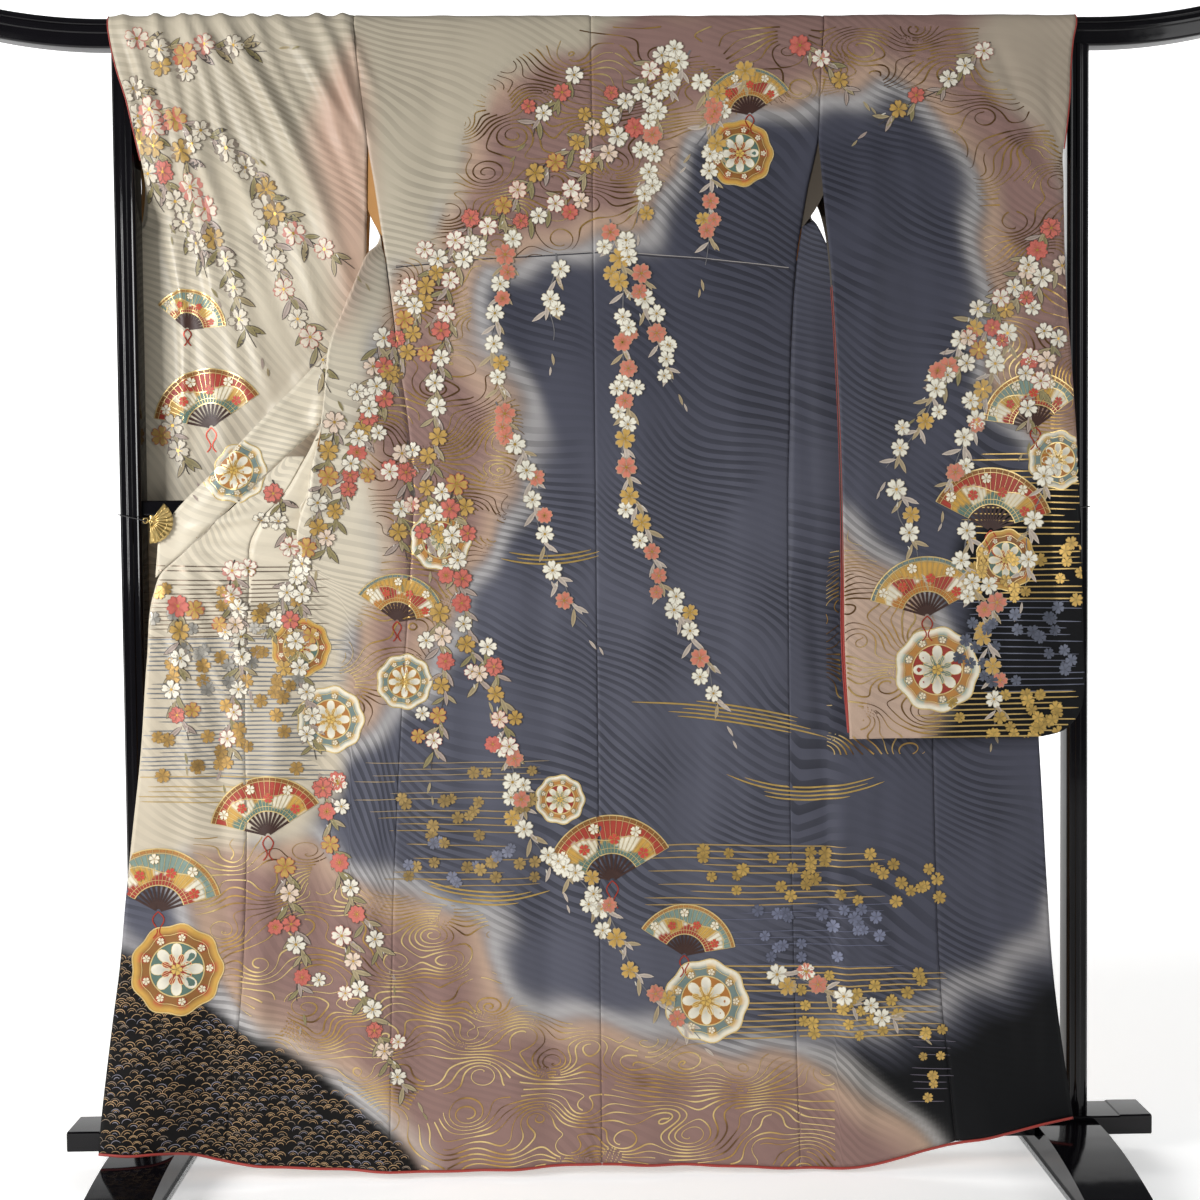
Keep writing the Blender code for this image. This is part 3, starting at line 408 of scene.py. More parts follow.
def near_y(x, z):
    """Depth of the near side: the hanging plane, soft upright waves, and the left corner's flare."""
    wave = 0.0026 * np.clip(1 - z / 1.6, 0, 1)
    waves = wave * (np.sin(37.0 * (x + 0.1) + 0.8 * np.sin(5.7 * z)) + 0.6 * np.sin(67.5 * x + 1.3 + z))
    flare = 0.040 * ease(-x, 0.55, 0.66) * ease(-z, -0.36, -0.05)
    return hang(z) + waves - flare


def lowered(level, x):
    """Height of a row at x: level rows high up, and rows that share out the height to the hem low down."""
    edge = read(HEM, 1, x) + FUKI + SEAM
    return np.where(level >= LEVEL_FROM, level, edge + (level / LEVEL_FROM) * (LEVEL_FROM - edge))


def over_rail():
    """Depths and heights of the cloth's rows over the rail, from the near side to the far side."""
    near = [(-FOLD_CENTRE[0] + FOLD_RADIUS * math.cos(a), FOLD_CENTRE[1] + FOLD_RADIUS * math.sin(a))
            for a in np.radians([180, 150, 120, 90])]
    return near + [(-y, z) for y, z in reversed(near)]


# %% Panels as coarse grids


def collar_out(side, value):
    """Turn a distance from the garment's centre line into an out on this side."""
    return value + side * CENTRE_X


def collar_seam(side, z):
    """Out and y of the collar's seam at a height, between its end and the neck."""
    rising = [(row[1], row[0], row[2]) for row in COLLAR[:COLLAR_RISING]]
    return collar_out(side, read(rising, 1, z)), read(rising, 2, z)


def front_edge(side, z):
    """Out and y of a front's inner edge: the collar seam above, the okumi seam below it."""
    if z >= OKUMI_SEAM[-1][0]:
        return collar_seam(side, z)
    out = read(OKUMI_SEAM, side_column(side), z)
    return out, near_y(side * out, z)


def front_side(side, z):
    """Out and y of a front's outer edge: the side seam, the free edge under the arm, the sleeve's seam."""
    column = side_column(side)
    underarm = UNDERARM[side]
    if z <= underarm[0][0]:
        out = read(SIDE_EDGE, column, z) + SEAM + SIDE_KINK * ease(z, 1.12, 1.20)
        return out, near_y(side * out, z)
    if z < underarm[-1][0]:
        return read(underarm, 1, z) + SEAM + SIDE_KINK * (1 - ease(z, 1.34, 1.39)), read(underarm, 2, z)
    return read(SLEEVE_INNER, column, z), far_hang(z)


def guide_points(side, level):
    """Four guide points of a front's section between its side edge and its inner edge."""
    z, depth, shift, back = level, 1.0, 0.0, 0.0
    if side > 0:
        z = level - RIGHT_FOLD_LIFT * ease(level, 1.15, 1.30)
        depth = RIGHT_FOLD_DEPTH
        inset = RIGHT_FOLD_INSET * (1 - ease(level, 0.90, 1.15))
        (right_out, right_y), (left_out, left_y) = front_side(1, level), front_side(-1, z)
        shift = right_out - left_out - inset
        back = ease(level, 1.28, 1.33) * (right_y - hang(level) - left_y + hang(z))
    points = []
    for column in (1, 3, 5, 7):
        deep = read(FRONT_FOLDS, column + 1, z)
        points.append((read(FRONT_FOLDS, column, z) + shift, back + (deep * depth if deep < 0 else deep)))
    return points


def round_corner(before, corner, after, trim, steps):
    """Points of the curve that rounds one corner, from trim before it to trim past it."""
    back, ahead = before - corner, after - corner
    long_back, long_ahead = np.linalg.norm(back), np.linalg.norm(ahead)
    trim = min(trim, 0.45 * long_back, 0.45 * long_ahead)
    first, last = corner + back / long_back * trim, corner + ahead / long_ahead * trim
    return [(1 - t)**2 * first + 2 * t * (1 - t) * corner + t * t * last for t in steps]


def bent_row(start, guides, end):
    """Points of a front's section: straight legs from guide to guide with their corners rounded."""
    corners = [start, *guides, end]
    turns = ((0, 0.5, 1), (0, 0.5, 1), (0.2, 0.8), (0.2, 0.8))
    rounded = [round_corner(*corners[i:i + 3], 0.02, steps) for i, steps in enumerate(turns)]
    first = rounded[0][0]
    return np.array([start, (start + first) / 2] + [point for turn in rounded for point in turn] + [end])


def front_row(side, level):
    """One row of a front, from its side edge to its inner edge."""
    out_a, y_a = front_side(side, level)
    out_b, y_b = front_edge(side, level)
    if level > FOLD_TOP:
        stops = np.linspace(0, 1, BODY_COLUMNS)
        outs = out_a + (out_b - out_a) * stops
        ys = y_a + (y_b - y_a) * stops
    else:
        guides = [np.array([out, min(near_y(side * out, level) + deep, far_hang(level))])
                  for out, deep in guide_points(side, level)]
        outs, ys = bent_row(np.array([out_a, y_a]), guides, np.array([out_b, y_b])).T
    zs = lowered(level, side * outs)
    if level < LEVEL_FROM:
        ys = near_y(side * outs, zs)
    return join(side * outs, ys, zs)


def back_outs(side, edge):
    """Outs of a back's points, from its side edge to half a seam's gap from the garment's centre line."""
    return np.linspace(edge, side * CENTRE_X + SEAM / 2, BODY_COLUMNS)


def near_row(side, level, outs):
    """One row that hangs down the near side."""
    zs = lowered(level, side * outs)
    return join(side * outs, near_y(side * outs, zs), zs)


def body_grid(side):
    """One length of cloth: up the back, over the rail, down the far side and forward to the front's hem."""
    def edge(level):
        return read(SIDE_EDGE, side_column(side), level)
    rows = [near_row(side, level, back_outs(side, edge(level))) for level in LEVELS]
    outs = back_outs(side, SIDE_EDGE[-1][side_column(side)])
    rows += [join(side * outs, y, z) for y, z in over_rail()]
    rows += [join(side * back_outs(side, edge(level)), far_hang(level), level) for level in NECK_ROWS]
    rows += [front_row(side, level) for level in (NECK_POINT, *LEVELS[-2::-1])]
    return np.array(rows)


def okumi_grid(side):
    """The overlap panel, from its seam with the front to its free edge, ending in a point under the collar."""
    ends = [(row[1], collar_out(side, row[0])) for row in COLLAR[:5]]
    column = side_column(side)
    rows = []
    for level in LEVELS:
        if level > OKUMI_TOP:
            break
        inner = read(OKUMI_SEAM, column, level) + 2 * SEAM
        past = level > OKUMI_EDGE[-1][0]
        outer = read(ends, 1, level) - 3 * SEAM if past else read(OKUMI_EDGE, column, level)
        rows.append(near_row(side, level, np.linspace(inner, outer, OKUMI_COLUMNS)))
    return np.array(rows)


def sleeve_row(side, level, far):
    """One row of a sleeve's near or far layer, which nears the other layer towards the outer edge."""
    table = SLEEVE[side]
    column = 3 if far else 1
    sewn = not far and level >= SLEEVE_SEWN
    inner = read(SIDE_EDGE if sewn else SLEEVE_INNER, side_column(side), level) + SEAM
    outer = read(table, 6 if far else 5, level)
    rise = min(level - SLEEVE_BOTTOM, SLEEVE_CORNER)
    outer -= SLEEVE_CORNER - math.sqrt(SLEEVE_CORNER**2 - (SLEEVE_CORNER - rise)**2)
    across = np.linspace(0, 1, SLEEVE_COLUMNS)
    first, last = read(table, column, level), read(table, column + 1, level)
    return join(side * (inner + (outer - inner) * across), first + (last - first) * across**2, level)


def sleeve_grid(side):
    """One length of cloth: up the near layer, over the rail and down the far layer."""
    outs = np.linspace(SIDE_EDGE[-1][side_column(side)] + SEAM, SLEEVE_TOP_EDGE[side], SLEEVE_COLUMNS)
    rows = [sleeve_row(side, level, False) for level in SLEEVE_ROWS]
    rows += [join(side * outs, y, z) for y, z in over_rail()]
    rows += [sleeve_row(side, level, True) for level in reversed(SLEEVE_ROWS)]
    return np.array(rows)


def collar_station(side, row):
    """Two edge points and the middle of the band at one station, its seam edge held off the cloth's."""
    seam_out, seam_z, seam_y, free_out, free_z, free_y = row
    seam = np.array([side * collar_out(side, seam_out), seam_y, seam_z])
    free = np.array([side * collar_out(side, free_out), free_y, free_z])
    twist = ease(seam_z, 1.08, 1.13) * (1 - ease(seam_z, 1.47, 1.55))
    seam = seam + unit(free - seam) * (2 * SEAM + COLLAR_TWIST * twist)
    return [seam, (seam + free) / 2, free]


def collar_grid():
    """The collar band from its left end round the neck to its right end, three points across."""
    rising = [(row[1], *row) for row in COLLAR[:COLLAR_RISING]]
    seam_levels = [level for level in LEVELS if COLLAR[4][1] < level < COLLAR[COLLAR_RISING - 1][1]]
    rows = list(COLLAR[:5])
    rows += [[read(rising, column, level) for column in range(1, 7)] for level in seam_levels]
    rows += COLLAR[COLLAR_RISING - 1:]
    left, right = ([collar_station(side, row) for row in rows] for side in (-1, 1))
    return np.array(left + right[-2::-1])


# %% [markdown]
# ## Photo positions in metres
# The colours and the embroidery are laid out on the flat of the hanging garment. Their places were read off
# the photograph, in its pixels, so one function turns a pixel into metres on an upright plane just in
# front of the rail, with the same numbers as the camera at the end of this file.

# %% The camera's numbers
CAMERA_AT = np.array([-0.0487, -2.0235, 0.8775])
YAW, PITCH, ROLL = math.radians(-1.06), math.radians(-1.807), math.radians(-0.532)
FOCAL = 1404.5           # in pixels of the 1200 x 1200 picture
HALF = 600
PLANE_Y = -0.062         # the hanging cloth, on the average


def camera_axes():
    """Unit vectors to the camera's right, up and forward: a yaw about Z, then a pitch, then a roll."""
    right = np.array([math.cos(YAW), math.sin(YAW), 0])
    forward = np.array([-math.sin(YAW) * math.cos(PITCH), math.cos(YAW) * math.cos(PITCH), math.sin(PITCH)])
    up = np.cross(right, forward)
    turned = right * math.cos(ROLL) + up * math.sin(ROLL)
    return turned, np.cross(turned, forward), forward


RIGHT, UP, FORWARD = camera_axes()


def place(pixels):
    """Pixels of the photograph as x and z: the point where a pixel's ray meets the upright plane."""
    pixels = np.asarray(pixels, dtype=float)
    ray = (FORWARD + RIGHT * ((pixels[..., :1] - HALF) / FOCAL) - UP * ((pixels[..., 1:2] - HALF) / FOCAL))
    hit = CAMERA_AT + ray * ((PLANE_Y - CAMERA_AT[1]) / ray[..., 1:2])
    return hit[..., [0, 2]]


PIXEL = float(place([[601, 600]])[0, 0] - place([[600, 600]])[0, 0])
print("one pixel on the cloth is", round(PIXEL * 1000, 2), "mm")

# %% [markdown]
# ## Creases
# Silk that hangs from a rail keeps a few long soft folds. Each is a straight trough or ridge:
# its height falls off as a bell curve across it and fades towards its ends. A seam is a shallow groove, where
# the two edges turn in, and the tuck across the back, which takes up length at the waist, is a small step.

# %% Soft folds
# x and z of both ends as photograph pixels | half width in mm | height in mm, more than 0 towards the viewer
FOLDS = ((186, 528, 262, 470, 7, 3.5), (190, 530, 330, 500, 8, 4.0), (186, 540, 310, 560, 7, 3.5),
         (184, 548, 280, 640, 8, 3.5), (178, 556, 236, 720, 9, 3.0), (168, 560, 190, 800, 10, 2.6),
         (200, 500, 330, 330, 9, 3.0), (330, 330, 306, 560, 7, 2.5), (112, -10, 172, 210, 8, 4.0),
         (134, -20, 214, 200, 7, 4.5), (158, -20, 262, 230, 8, 5.0), (181, -20, 300, 240, 7, 4.5),
         (206, -20, 330, 230, 8, 5.0), (236, -20, 350, 200, 8, 4.5), (262, -20, 362, 160, 7, 3.5),
         (296, -20, 368, 130, 8, 4.0), (330, -20, 372, 90, 7, 3.0), (150, 90, 168, 470, 8, 4.0),
         (165, 120, 250, 420, 12, 3.5), (230, 200, 300, 420, 12, 3.0), (150, 40, 205, 330, 9, 4.0),
         (172, 28, 262, 400, 11, 4.5), (200, 24, 318, 330, 8, 3.5), (232, 24, 352, 300, 12, 5.0),
         (262, 24, 366, 230, 8, -3.5), (290, 24, 362, 180, 9, 4.0), (322, 22, 366, 130, 8, 3.5),
         (128, 60, 170, 300, 8, 3.0), (118, 30, 140, 160, 6, -2.5), (215, 180, 330, 470, 16, -3.5),
         (180, 260, 215, 470, 14, 2.5), (180, 520, 300, 430, 9, 3.0), (182, 532, 300, 505, 8, 3.0),
         (180, 545, 290, 590, 8, 2.5), (176, 552, 262, 690, 9, 2.5), (170, 556, 215, 760, 10, 2.0),
         (186, 526, 320, 400, 7, -2.0), (160, 560, 150, 800, 14, 2.5), (200, 640, 170, 1120, 18, 2.0),
         (225, 700, 215, 1150, 12, -2.0), (285, 620, 262, 1160, 16, 2.5), (330, 560, 320, 1165, 20, -2.0),
         (372, 640, 372, 1165, 15, 2.0), (440, 300, 452, 1160, 22, 1.6), (500, 30, 505, 640, 30, 1.6),
         (545, 300, 540, 1165, 22, -1.6), (640, 260, 660, 1165, 26, 1.8), (700, 300, 712, 1165, 22, -1.6),
         (752, 280, 742, 1165, 20, 1.8), (680, 30, 690, 250, 26, -1.2), (760, 30, 752, 255, 20, 1.5),
         (430, 40, 440, 255, 22, -1.4), (815, 300, 826, 1165, 13, -2.2), (845, 760, 860, 1165, 14, 2.4),
         (890, 745, 905, 1160, 16, -2.0), (985, 745, 1005, 1130, 15, 2.0), (1030, 740, 1046, 1110, 11, -1.6),
         (862, 60, 872, 730, 16, 2.2), (905, 90, 900, 730, 20, -1.8), (955, 60, 962, 730, 22, 2.4),
         (1005, 120, 1018, 730, 18, -2.0), (1045, 160, 1056, 690, 12, 2.4), (880, 30, 930, 250, 14, 2.0),
         (1000, 30, 1052, 170, 10, -2.4), (965, 30, 1046, 210, 9, 2.0), (1055, 60, 1062, 330, 7, -1.8))
TUCK = ((394, 264), (470, 257), (600, 249), (700, 256), (791, 266))     # the step across the back, pixels


def bell(distance, width):
    """Bell curve: exp(-(distance / width) squared)."""
    return np.exp(-(distance / width) ** 2)


def fold_height(x, z):
    """Sum of the folds at x, z: height times a bell curve of the distance, faded along the fold's length."""
    total = np.zeros_like(x)
    for ax, ay, bx, by, wide, tall in FOLDS:
        (x0, z0), (x1, z1) = place([[ax, ay], [bx, by]])
        along = np.array([x1 - x0, z1 - z0])
        size = np.hypot(*along)
        t = ((x - x0) * along[0] + (z - z0) * along[1]) / size**2
        bow = 0.012 * np.sin(t * math.pi * 1.3 + ax) * (np.abs(t - 0.5) < 1.5)
        off = ((x - x0) * along[1] - (z - z0) * along[0]) / size + bow * min(1, size / 0.6)
        fade = ease(t, -0.10, 0.22) * (1 - ease(t, 0.72, 1.12))
        total += 1.5 * tall / 1000 * bell(off, wide / 1000) * fade
    return total


def tuck_height(x, z):
    """The tuck's step: 1 mm just above its line, gone 35 mm higher, and nothing below it."""
    line = place(TUCK)
    above = z - np.interp(x, line[:, 0], line[:, 1])
    return 0.0010 * ease(above, -0.0005, 0.0012) * (1 - ease(above, 0.003, 0.035))


def ripple(x, z):
    """Fine unevenness of hanging silk: a few long waves of different slant, half a millimetre high in all."""
    waves = ((61, 9, 0.3, 0.00028), (97, -13, 1.1, 0.00018), (41, 21, 2.0, 0.00030), (151, 17, 0.7, 0.00010),
             (23, -37, 1.7, 0.00022))
    return sum(tall * np.sin(a * x + b * z + c + 1.4 * np.sin(5.1 * z + c)) for a, b, c, tall in waves)


# %% [markdown]
# ## Dyed colours
# The ground is dyed in soft-edged fields: cream at the upper left, dusty mauve, blue-grey in the middle and a
# blue-black at the lower right and the left corner. Each field is a closed curve through listed points.
# A vertex's distance from the curve, in or out, gives a soft step between two colours, as a brushed dye edge
# would, with a pale halo where the dyer sprayed the edge. The cream is also painted darker towards the top, as
# painted shade.

# %% Fields of colour
CREAM_AREA = ((60, -20), (590, -20), (585, 30), (520, 60), (478, 110), (462, 170), (440, 215), (425, 258),
              (394, 272), (376, 336), (364, 380), (358, 431), (368, 495), (380, 559), (362, 610), (348, 670),
              (342, 740), (330, 800), (296, 838), (240, 850), (190, 850), (120, 880), (40, 880))
RIGHT_CREAM_AREA = ((1015, -20), (1130, -20), (1130, 210), (1075, 190), (1052, 130), (1010, 80), (985, 30))
MAUVE_TOP_AREA = ((590, -20), (520, 40), (470, 90), (452, 170), (430, 230), (415, 262), (470, 262),
                  (560, 250), (640, 225), (668, 175), (690, 130), (760, 104), (840, 88), (905, 84),
                  (950, 120), (975, 200), (985, 330), (1005, 420), (1120, 460), (1120, -20))
MAUVE_LEFT_AREA = ((455, 250), (392, 262), (376, 336), (364, 380), (356, 431), (366, 495), (380, 559),
                   (358, 610), (340, 660), (330, 720), (345, 745), (380, 715), (412, 685), (443, 632),
                   (468, 585), (500, 535), (512, 495), (524, 444), (518, 402), (492, 375), (472, 345),
                   (472, 300), (482, 254))
MAUVE_HEM_AREA = ((196, 830), (250, 836), (310, 838), (345, 880), (430, 900), (485, 915), (492, 960),
                  (520, 1000), (600, 1030), (700, 1040), (790, 1058), (870, 1095), (940, 1160), (940, 1240),
                  (430, 1240), (392, 1130), (330, 1075), (246, 1020), (205, 940), (188, 890))
SLEEVE_MAUVE_AREA = ((830, 540), (870, 560), (925, 610), (945, 680), (925, 760), (830, 780))
WAVE_AREA = ((60, 905), (122, 948), (180, 990), (246, 1030), (330, 1082), (392, 1132), (432, 1190),
             (432, 1260), (60, 1260))
SLEEVE_NIGHT_AREA = ((1120, 430), (1060, 452), (1000, 500), (955, 560), (950, 650), (935, 720), (935, 790),
                     (1120, 790))
NIGHT_AREA = ((1140, 850), (1060, 960), (1000, 1010), (930, 1040), (860, 1060), (800, 1075), (860, 1110),
              (930, 1170), (950, 1260), (1140, 1260))
BLUSH_AREA = ((352, 30), (312, 84), (300, 140), (318, 215), (326, 290), (342, 335), (370, 260), (372, 130))

# SHADED_CREAM is the cream in painted shade
CREAM, SHADED_CREAM, BEIGE, BLUSH, SAND = "#DBD1BC", "#ABA18E", "#C3B7A2", "#BE8674", "#C2A894"
MAUVE, PALE_MAUVE = "#8C6F68", "#BA9E88"
BLUE, DEEP_BLUE, NIGHT, WAVE_GROUND, HALO = "#565763", "#444551", "#040508", "#050302", "#DAD5D0"


def smooth_loop(points, steps=8):
    """A closed curve through the points, in cubic pieces whose slope at a point is half the step across it."""
    b = np.asarray(points, dtype=float)
    a, b, c, d = (np.roll(b, turn, 0)[:, None] for turn in (1, 0, -1, -2))
    t = (np.arange(steps) / steps)[None, :, None]
    found = 0.5 * (2 * b + (c - a) * t + (2 * a - 5 * b + 4 * c - d) * t**2 + (3 * b - a - 3 * c + d) * t**3)
    return found.reshape(-1, 2)


def field(area, x, z):
    """Distance in from a field's curve, less than 0 outside: there a ray crosses it an even number of times."""
    loop = place(smooth_loop(area))
    px, pz = x.ravel(), z.ravel()
    near = np.full(px.shape, 9.0)
    odd = np.zeros(px.shape, dtype=bool)
    for (ax, az), (bx, bz) in zip(loop, np.roll(loop, -1, axis=0)):
        dx, dz = bx - ax, bz - az
        t = np.clip(((px - ax) * dx + (pz - az) * dz) / (dx * dx + dz * dz + 1e-12), 0, 1)
        near = np.minimum(near, np.hypot(px - ax - t * dx, pz - az - t * dz))
        if dz:
            odd ^= ((az > pz) != (bz > pz)) & (px < (bx - ax) * (pz - az) / dz + ax)
    return np.where(odd, near, -near).reshape(x.shape)


def mix(under, over, share):
    """One colour laid over another: under * (1 - share) + over * share. A hex code may stand for a colour."""
    under, over = (linear(paint) if isinstance(paint, str) else paint for paint in (under, over))
    return under * (1 - share[..., None]) + over * share[..., None]


def mauve_depth(x, z, piece):
    """How far inside the mauve fields x, z lies on one piece, less than 0 outside all of them."""
    areas = [MAUVE_TOP_AREA]
    if not piece.startswith("sleeve"):
        areas += [MAUVE_LEFT_AREA, MAUVE_HEM_AREA]
    if piece == "sleeve_right":
        areas += [SLEEVE_MAUVE_AREA]
    return np.max([field(area, x, z) for area in areas], axis=0)


def dye_and_painted_shade(x, z, piece):
    """Linear colour of the dyed silk at x, z on one piece: the fields are laid over each other with soft edges.

    The cream is painted darker towards the top, and on the left sleeve throughout: painted shade. A fourth
    channel says how strongly the woven stripes show.
    """
    cloudy = 0.006 * (np.sin(23 * x + 9 * z) + np.sin(31 * z - 17 * x + 1.3) + np.sin(57 * x + 41 * z + 0.4))
    color = mix(BLUE, DEEP_BLUE, np.maximum(ease(z, 0.80, 1.25), 0.75 * ease(x, 0.12, 0.45)))
    night = field(NIGHT_AREA, x, z) + cloudy
    color = mix(color, NIGHT, ease(night, -0.040, 0.025))
    color = mix(color, HALO, 0.34 * bell(night + 0.045, 0.020) * ease(x, 0.22, 0.36))
    inner = mauve_depth(x, z, piece) + cloudy
    color = mix(color, HALO, 0.48 * bell(inner + 0.012, 0.015))
    color = mix(color, mix(MAUVE, PALE_MAUVE, 1 - ease(inner, 0.0, 0.06)), ease(inner, -0.012, 0.018))
    if piece == "sleeve_left":
        cream = np.full(x.shape, 0.2)
        # painted shade: the left sleeve's cream is shaded throughout, more so towards the top
        pale = mix(CREAM, SHADED_CREAM, 0.40 + 0.35 * ease(z, 1.25, 1.50))
    else:
        cream = field(CREAM_AREA, x, z) + cloudy
        # painted shade: the cream darkens towards the top
        pale = mix(CREAM, SHADED_CREAM, 0.85 * ease(z, 0.95, 1.52))
        pale = mix(pale, BEIGE, 0.85 * (1 - ease(z, 0.70, 1.00)))
    color = mix(color, pale, ease(cream, -0.020, 0.024))
    color = mix(color, pale, 0.75 * ease(field(RIGHT_CREAM_AREA, x, z) + cloudy, -0.030, 0.020))
    color = mix(color, BLUSH, 0.46 * ease(field(BLUSH_AREA, x, z), -0.020, 0.034) * (x < -0.20))
    if piece == "sleeve_right":
        color = mix(color, SAND, 0.85 * ease(field(SLEEVE_MAUVE_AREA, x, z) + cloudy, 0.0, 0.03))
        color = mix(color, NIGHT, ease(field(SLEEVE_NIGHT_AREA, x, z) + cloudy, -0.020, 0.020))
    if not piece.startswith("sleeve"):
        waves = field(WAVE_AREA, x, z) + 0.5 * cloudy
        color = mix(color, HALO, 0.30 * bell(waves + 0.012, 0.014))
        color = mix(color, WAVE_GROUND, ease(waves, -0.014, 0.006))
    stripes = 0.50 - 0.34 * ease(inner, -0.02, 0.02)
    stripes = stripes + (0.25 - stripes) * ease(cream, -0.02, 0.02)
    return np.concatenate([color, stripes[..., None]], axis=-1)


# %% [markdown]
# ## Silk
# The ground is a figured satin: wavy slanting stripes, a thumb's width apart, are woven so that they catch the
# light differently. We draw the stripe lines from the cloth's own map, which counts metres along the threads,
# let them wander with a slow wave, and give them to the colour and a very slight bump. They
# show more on the dark dye than on the pale one, so the fourth channel of the attribute of dye and painted
# shade says how much.

# %% Figured silk satin, piece-dyed
STRIPE = 0.014           # metres up the cloth from one woven stripe to the next


def figured_silk(name, slant, start):
    """Stripes: fraction of (y + slant x + 0.3 noise + start) / 14 mm, by a ramp, times patches of noise."""
    made, shader = start_material(name)
    threads = add_node(made, "UVMap", {}, uv_map="threads")
    parts = add_node(made, "SeparateXYZ", {0: threads})
    dyed_and_shaded = add_node(made, "Attribute", {}, attribute_name="dye_and_painted_shade")
    slow = add_node(made, "TexNoise", {0: threads, "Scale": 2.8, "Detail": 0.8})
    lean = add_node(made, "Math", {0: parts, 1: slant}, operation="MULTIPLY")
    climb = add_node(made, "Math", {0: parts.outputs["Y"], 1: lean}, operation="ADD")
    wander = add_node(made, "Math", {0: slow, 1: 0.30, 2: start}, operation="MULTIPLY_ADD")
    height = add_node(made, "Math", {0: climb, 1: wander}, operation="ADD")
    turns = add_node(made, "Math", {0: height, 1: 1 / STRIPE}, operation="MULTIPLY")
    saw = add_node(made, "Math", {0: turns}, operation="FRACT")
    line = add_node(made, "ValToRGB", {0: saw})
    ramp = line.color_ramp.elements
    stops = [ramp[0], ramp[1]] + [ramp.new(0.5) for _ in range(4)]
    values = ((0.0, 0.0), (1.0, 0.0), (0.52, 0.0), (0.10, 0.0), (0.20, 1.0), (0.42, 0.75))
    for stop, (at, value) in zip(stops, values):
        stop.position = at
        stop.color = (value, value, value, 1)
    patches = add_node(made, "TexNoise", {0: threads, "Scale": 6.0, "Detail": 1.0})
    where = add_node(made, "MapRange", {0: patches, 1: 0.38, 2: 0.58, 3: 0.12, 4: 1.0})
    shown = add_node(made, "Math", {0: line, 1: where}, operation="MULTIPLY")
    strong = add_node(made, "Math", {0: shown, 1: dyed_and_shaded.outputs["Alpha"]}, operation="MULTIPLY")
    shade = add_node(made, "Math", {0: 1.0, 1: strong}, operation="SUBTRACT")
    tinted = add_node(made, "VectorMath", {0: dyed_and_shaded, 1: shade}, operation="MULTIPLY")
    # satin shines more where it is pale: less of its light is lost between the threads
    rough = add_node(made, "MapRange", {0: dyed_and_shaded.outputs["Fac"], 1: 0.04, 2: 0.50, 3: 0.62, 4: 0.34})
    # threads are 0.3 mm apart, too fine to show, so the grain is drawn at 1.4 mm
    grain = add_node(made, "TexNoise", {0: threads, "Scale": 700.0, "Detail": 2.0})
    relief = add_node(made, "Math", {0: grain, 1: 0.3, 2: shown}, operation="MULTIPLY_ADD")
    bump = add_node(made, "Bump", {"Height": relief, "Strength": 0.12, "Distance": 0.0004})
    feed(made, shader, {"Base Color": tinted, "Roughness": rough, "Normal": bump, "Specular IOR Level": 0.20,
                        "Sheen Weight": 0.03, "Sheen Roughness": 0.4})
    return made


SILK = {piece: figured_silk("figured_silk_satin_" + label, slant, start) for piece, label, slant, start in (
    ("body_left", "left", 0.58, 0.0), ("body_right", "right", -0.55, 0.3),
    ("okumi_left", "left_overlap", -0.50, 0.7), ("okumi_right", "right_overlap", 0.50, 0.1),
    ("sleeve_left", "left_sleeve", -0.62, 0.5), ("sleeve_right", "right_sleeve", 0.60, 0.9),
    ("collar", "collar", 0.50, 0.2))}

# %% Plain silk linings


def plain_silk(name, code, rough):
    """Plain woven silk: a thread grain in the bump and a slight mottling of the colour."""
    made, shader = start_material(name)
    where = add_node(made, "TexCoord", {}).outputs["Object"]
    mottle = add_node(made, "TexNoise", {"Vector": where, "Scale": 18.0})
    shade = add_node(made, "MapRange", {0: mottle, 3: 0.88, 4: 1.08})
    color = add_node(made, "VectorMath", {0: linear(code), 1: shade}, operation="MULTIPLY")
    grain = add_node(made, "TexNoise", {"Vector": where, "Scale": 900.0})
    bump = add_node(made, "Bump", {"Height": grain, "Strength": 0.1, "Distance": 0.0003})
    feed(made, shader, {"Base Color": color, "Normal": bump, "Roughness": rough, "Sheen Weight": 0.2})
    return made


OCHRE_LINING = plain_silk("ochre_plain_silk_lining", "#A27338", 0.55)
# the same ochre lining painted darker for the right side, as painted shade
SHADED_LINING = plain_silk("ochre_silk_lining_in_painted_shade", "#382E20", 0.55)
RED_LINING = plain_silk("red_plain_silk_lining", "#A2352B", 0.5)
# the seam allowance's dark grey is painted shade inside the seams
SEAM_SHADE_SILK = plain_silk("seam_allowance_in_painted_shade", "#4A4546", 0.6)

# %% [markdown]
# ## Panels
# Each panel becomes a thin shell: the coarse grid is refined to a fine one, pushed by the folds, and given an
# outer face in figured silk and an inner face in lining, 1.4 mm apart. Near a sewn edge the outer face curves
# in by under a millimetre, which draws the seam as a fine dark line.

# %% Make a panel
SHELL = 0.0014


def seam_dip(grid, sewn):
    """How far the face curves in at its sewn edges: 0.9 mm at the edge, gone 5 mm from it, as a bell curve."""
    across = lengths(grid, 1)
    edges = {"first": across, "last": across[-1] - across}
    dip = np.zeros(grid.shape[:2])
    for edge in sewn:
        dip = np.maximum(dip, 0.0009 * bell(edges[edge], 0.0022)[None, :])
    return dip


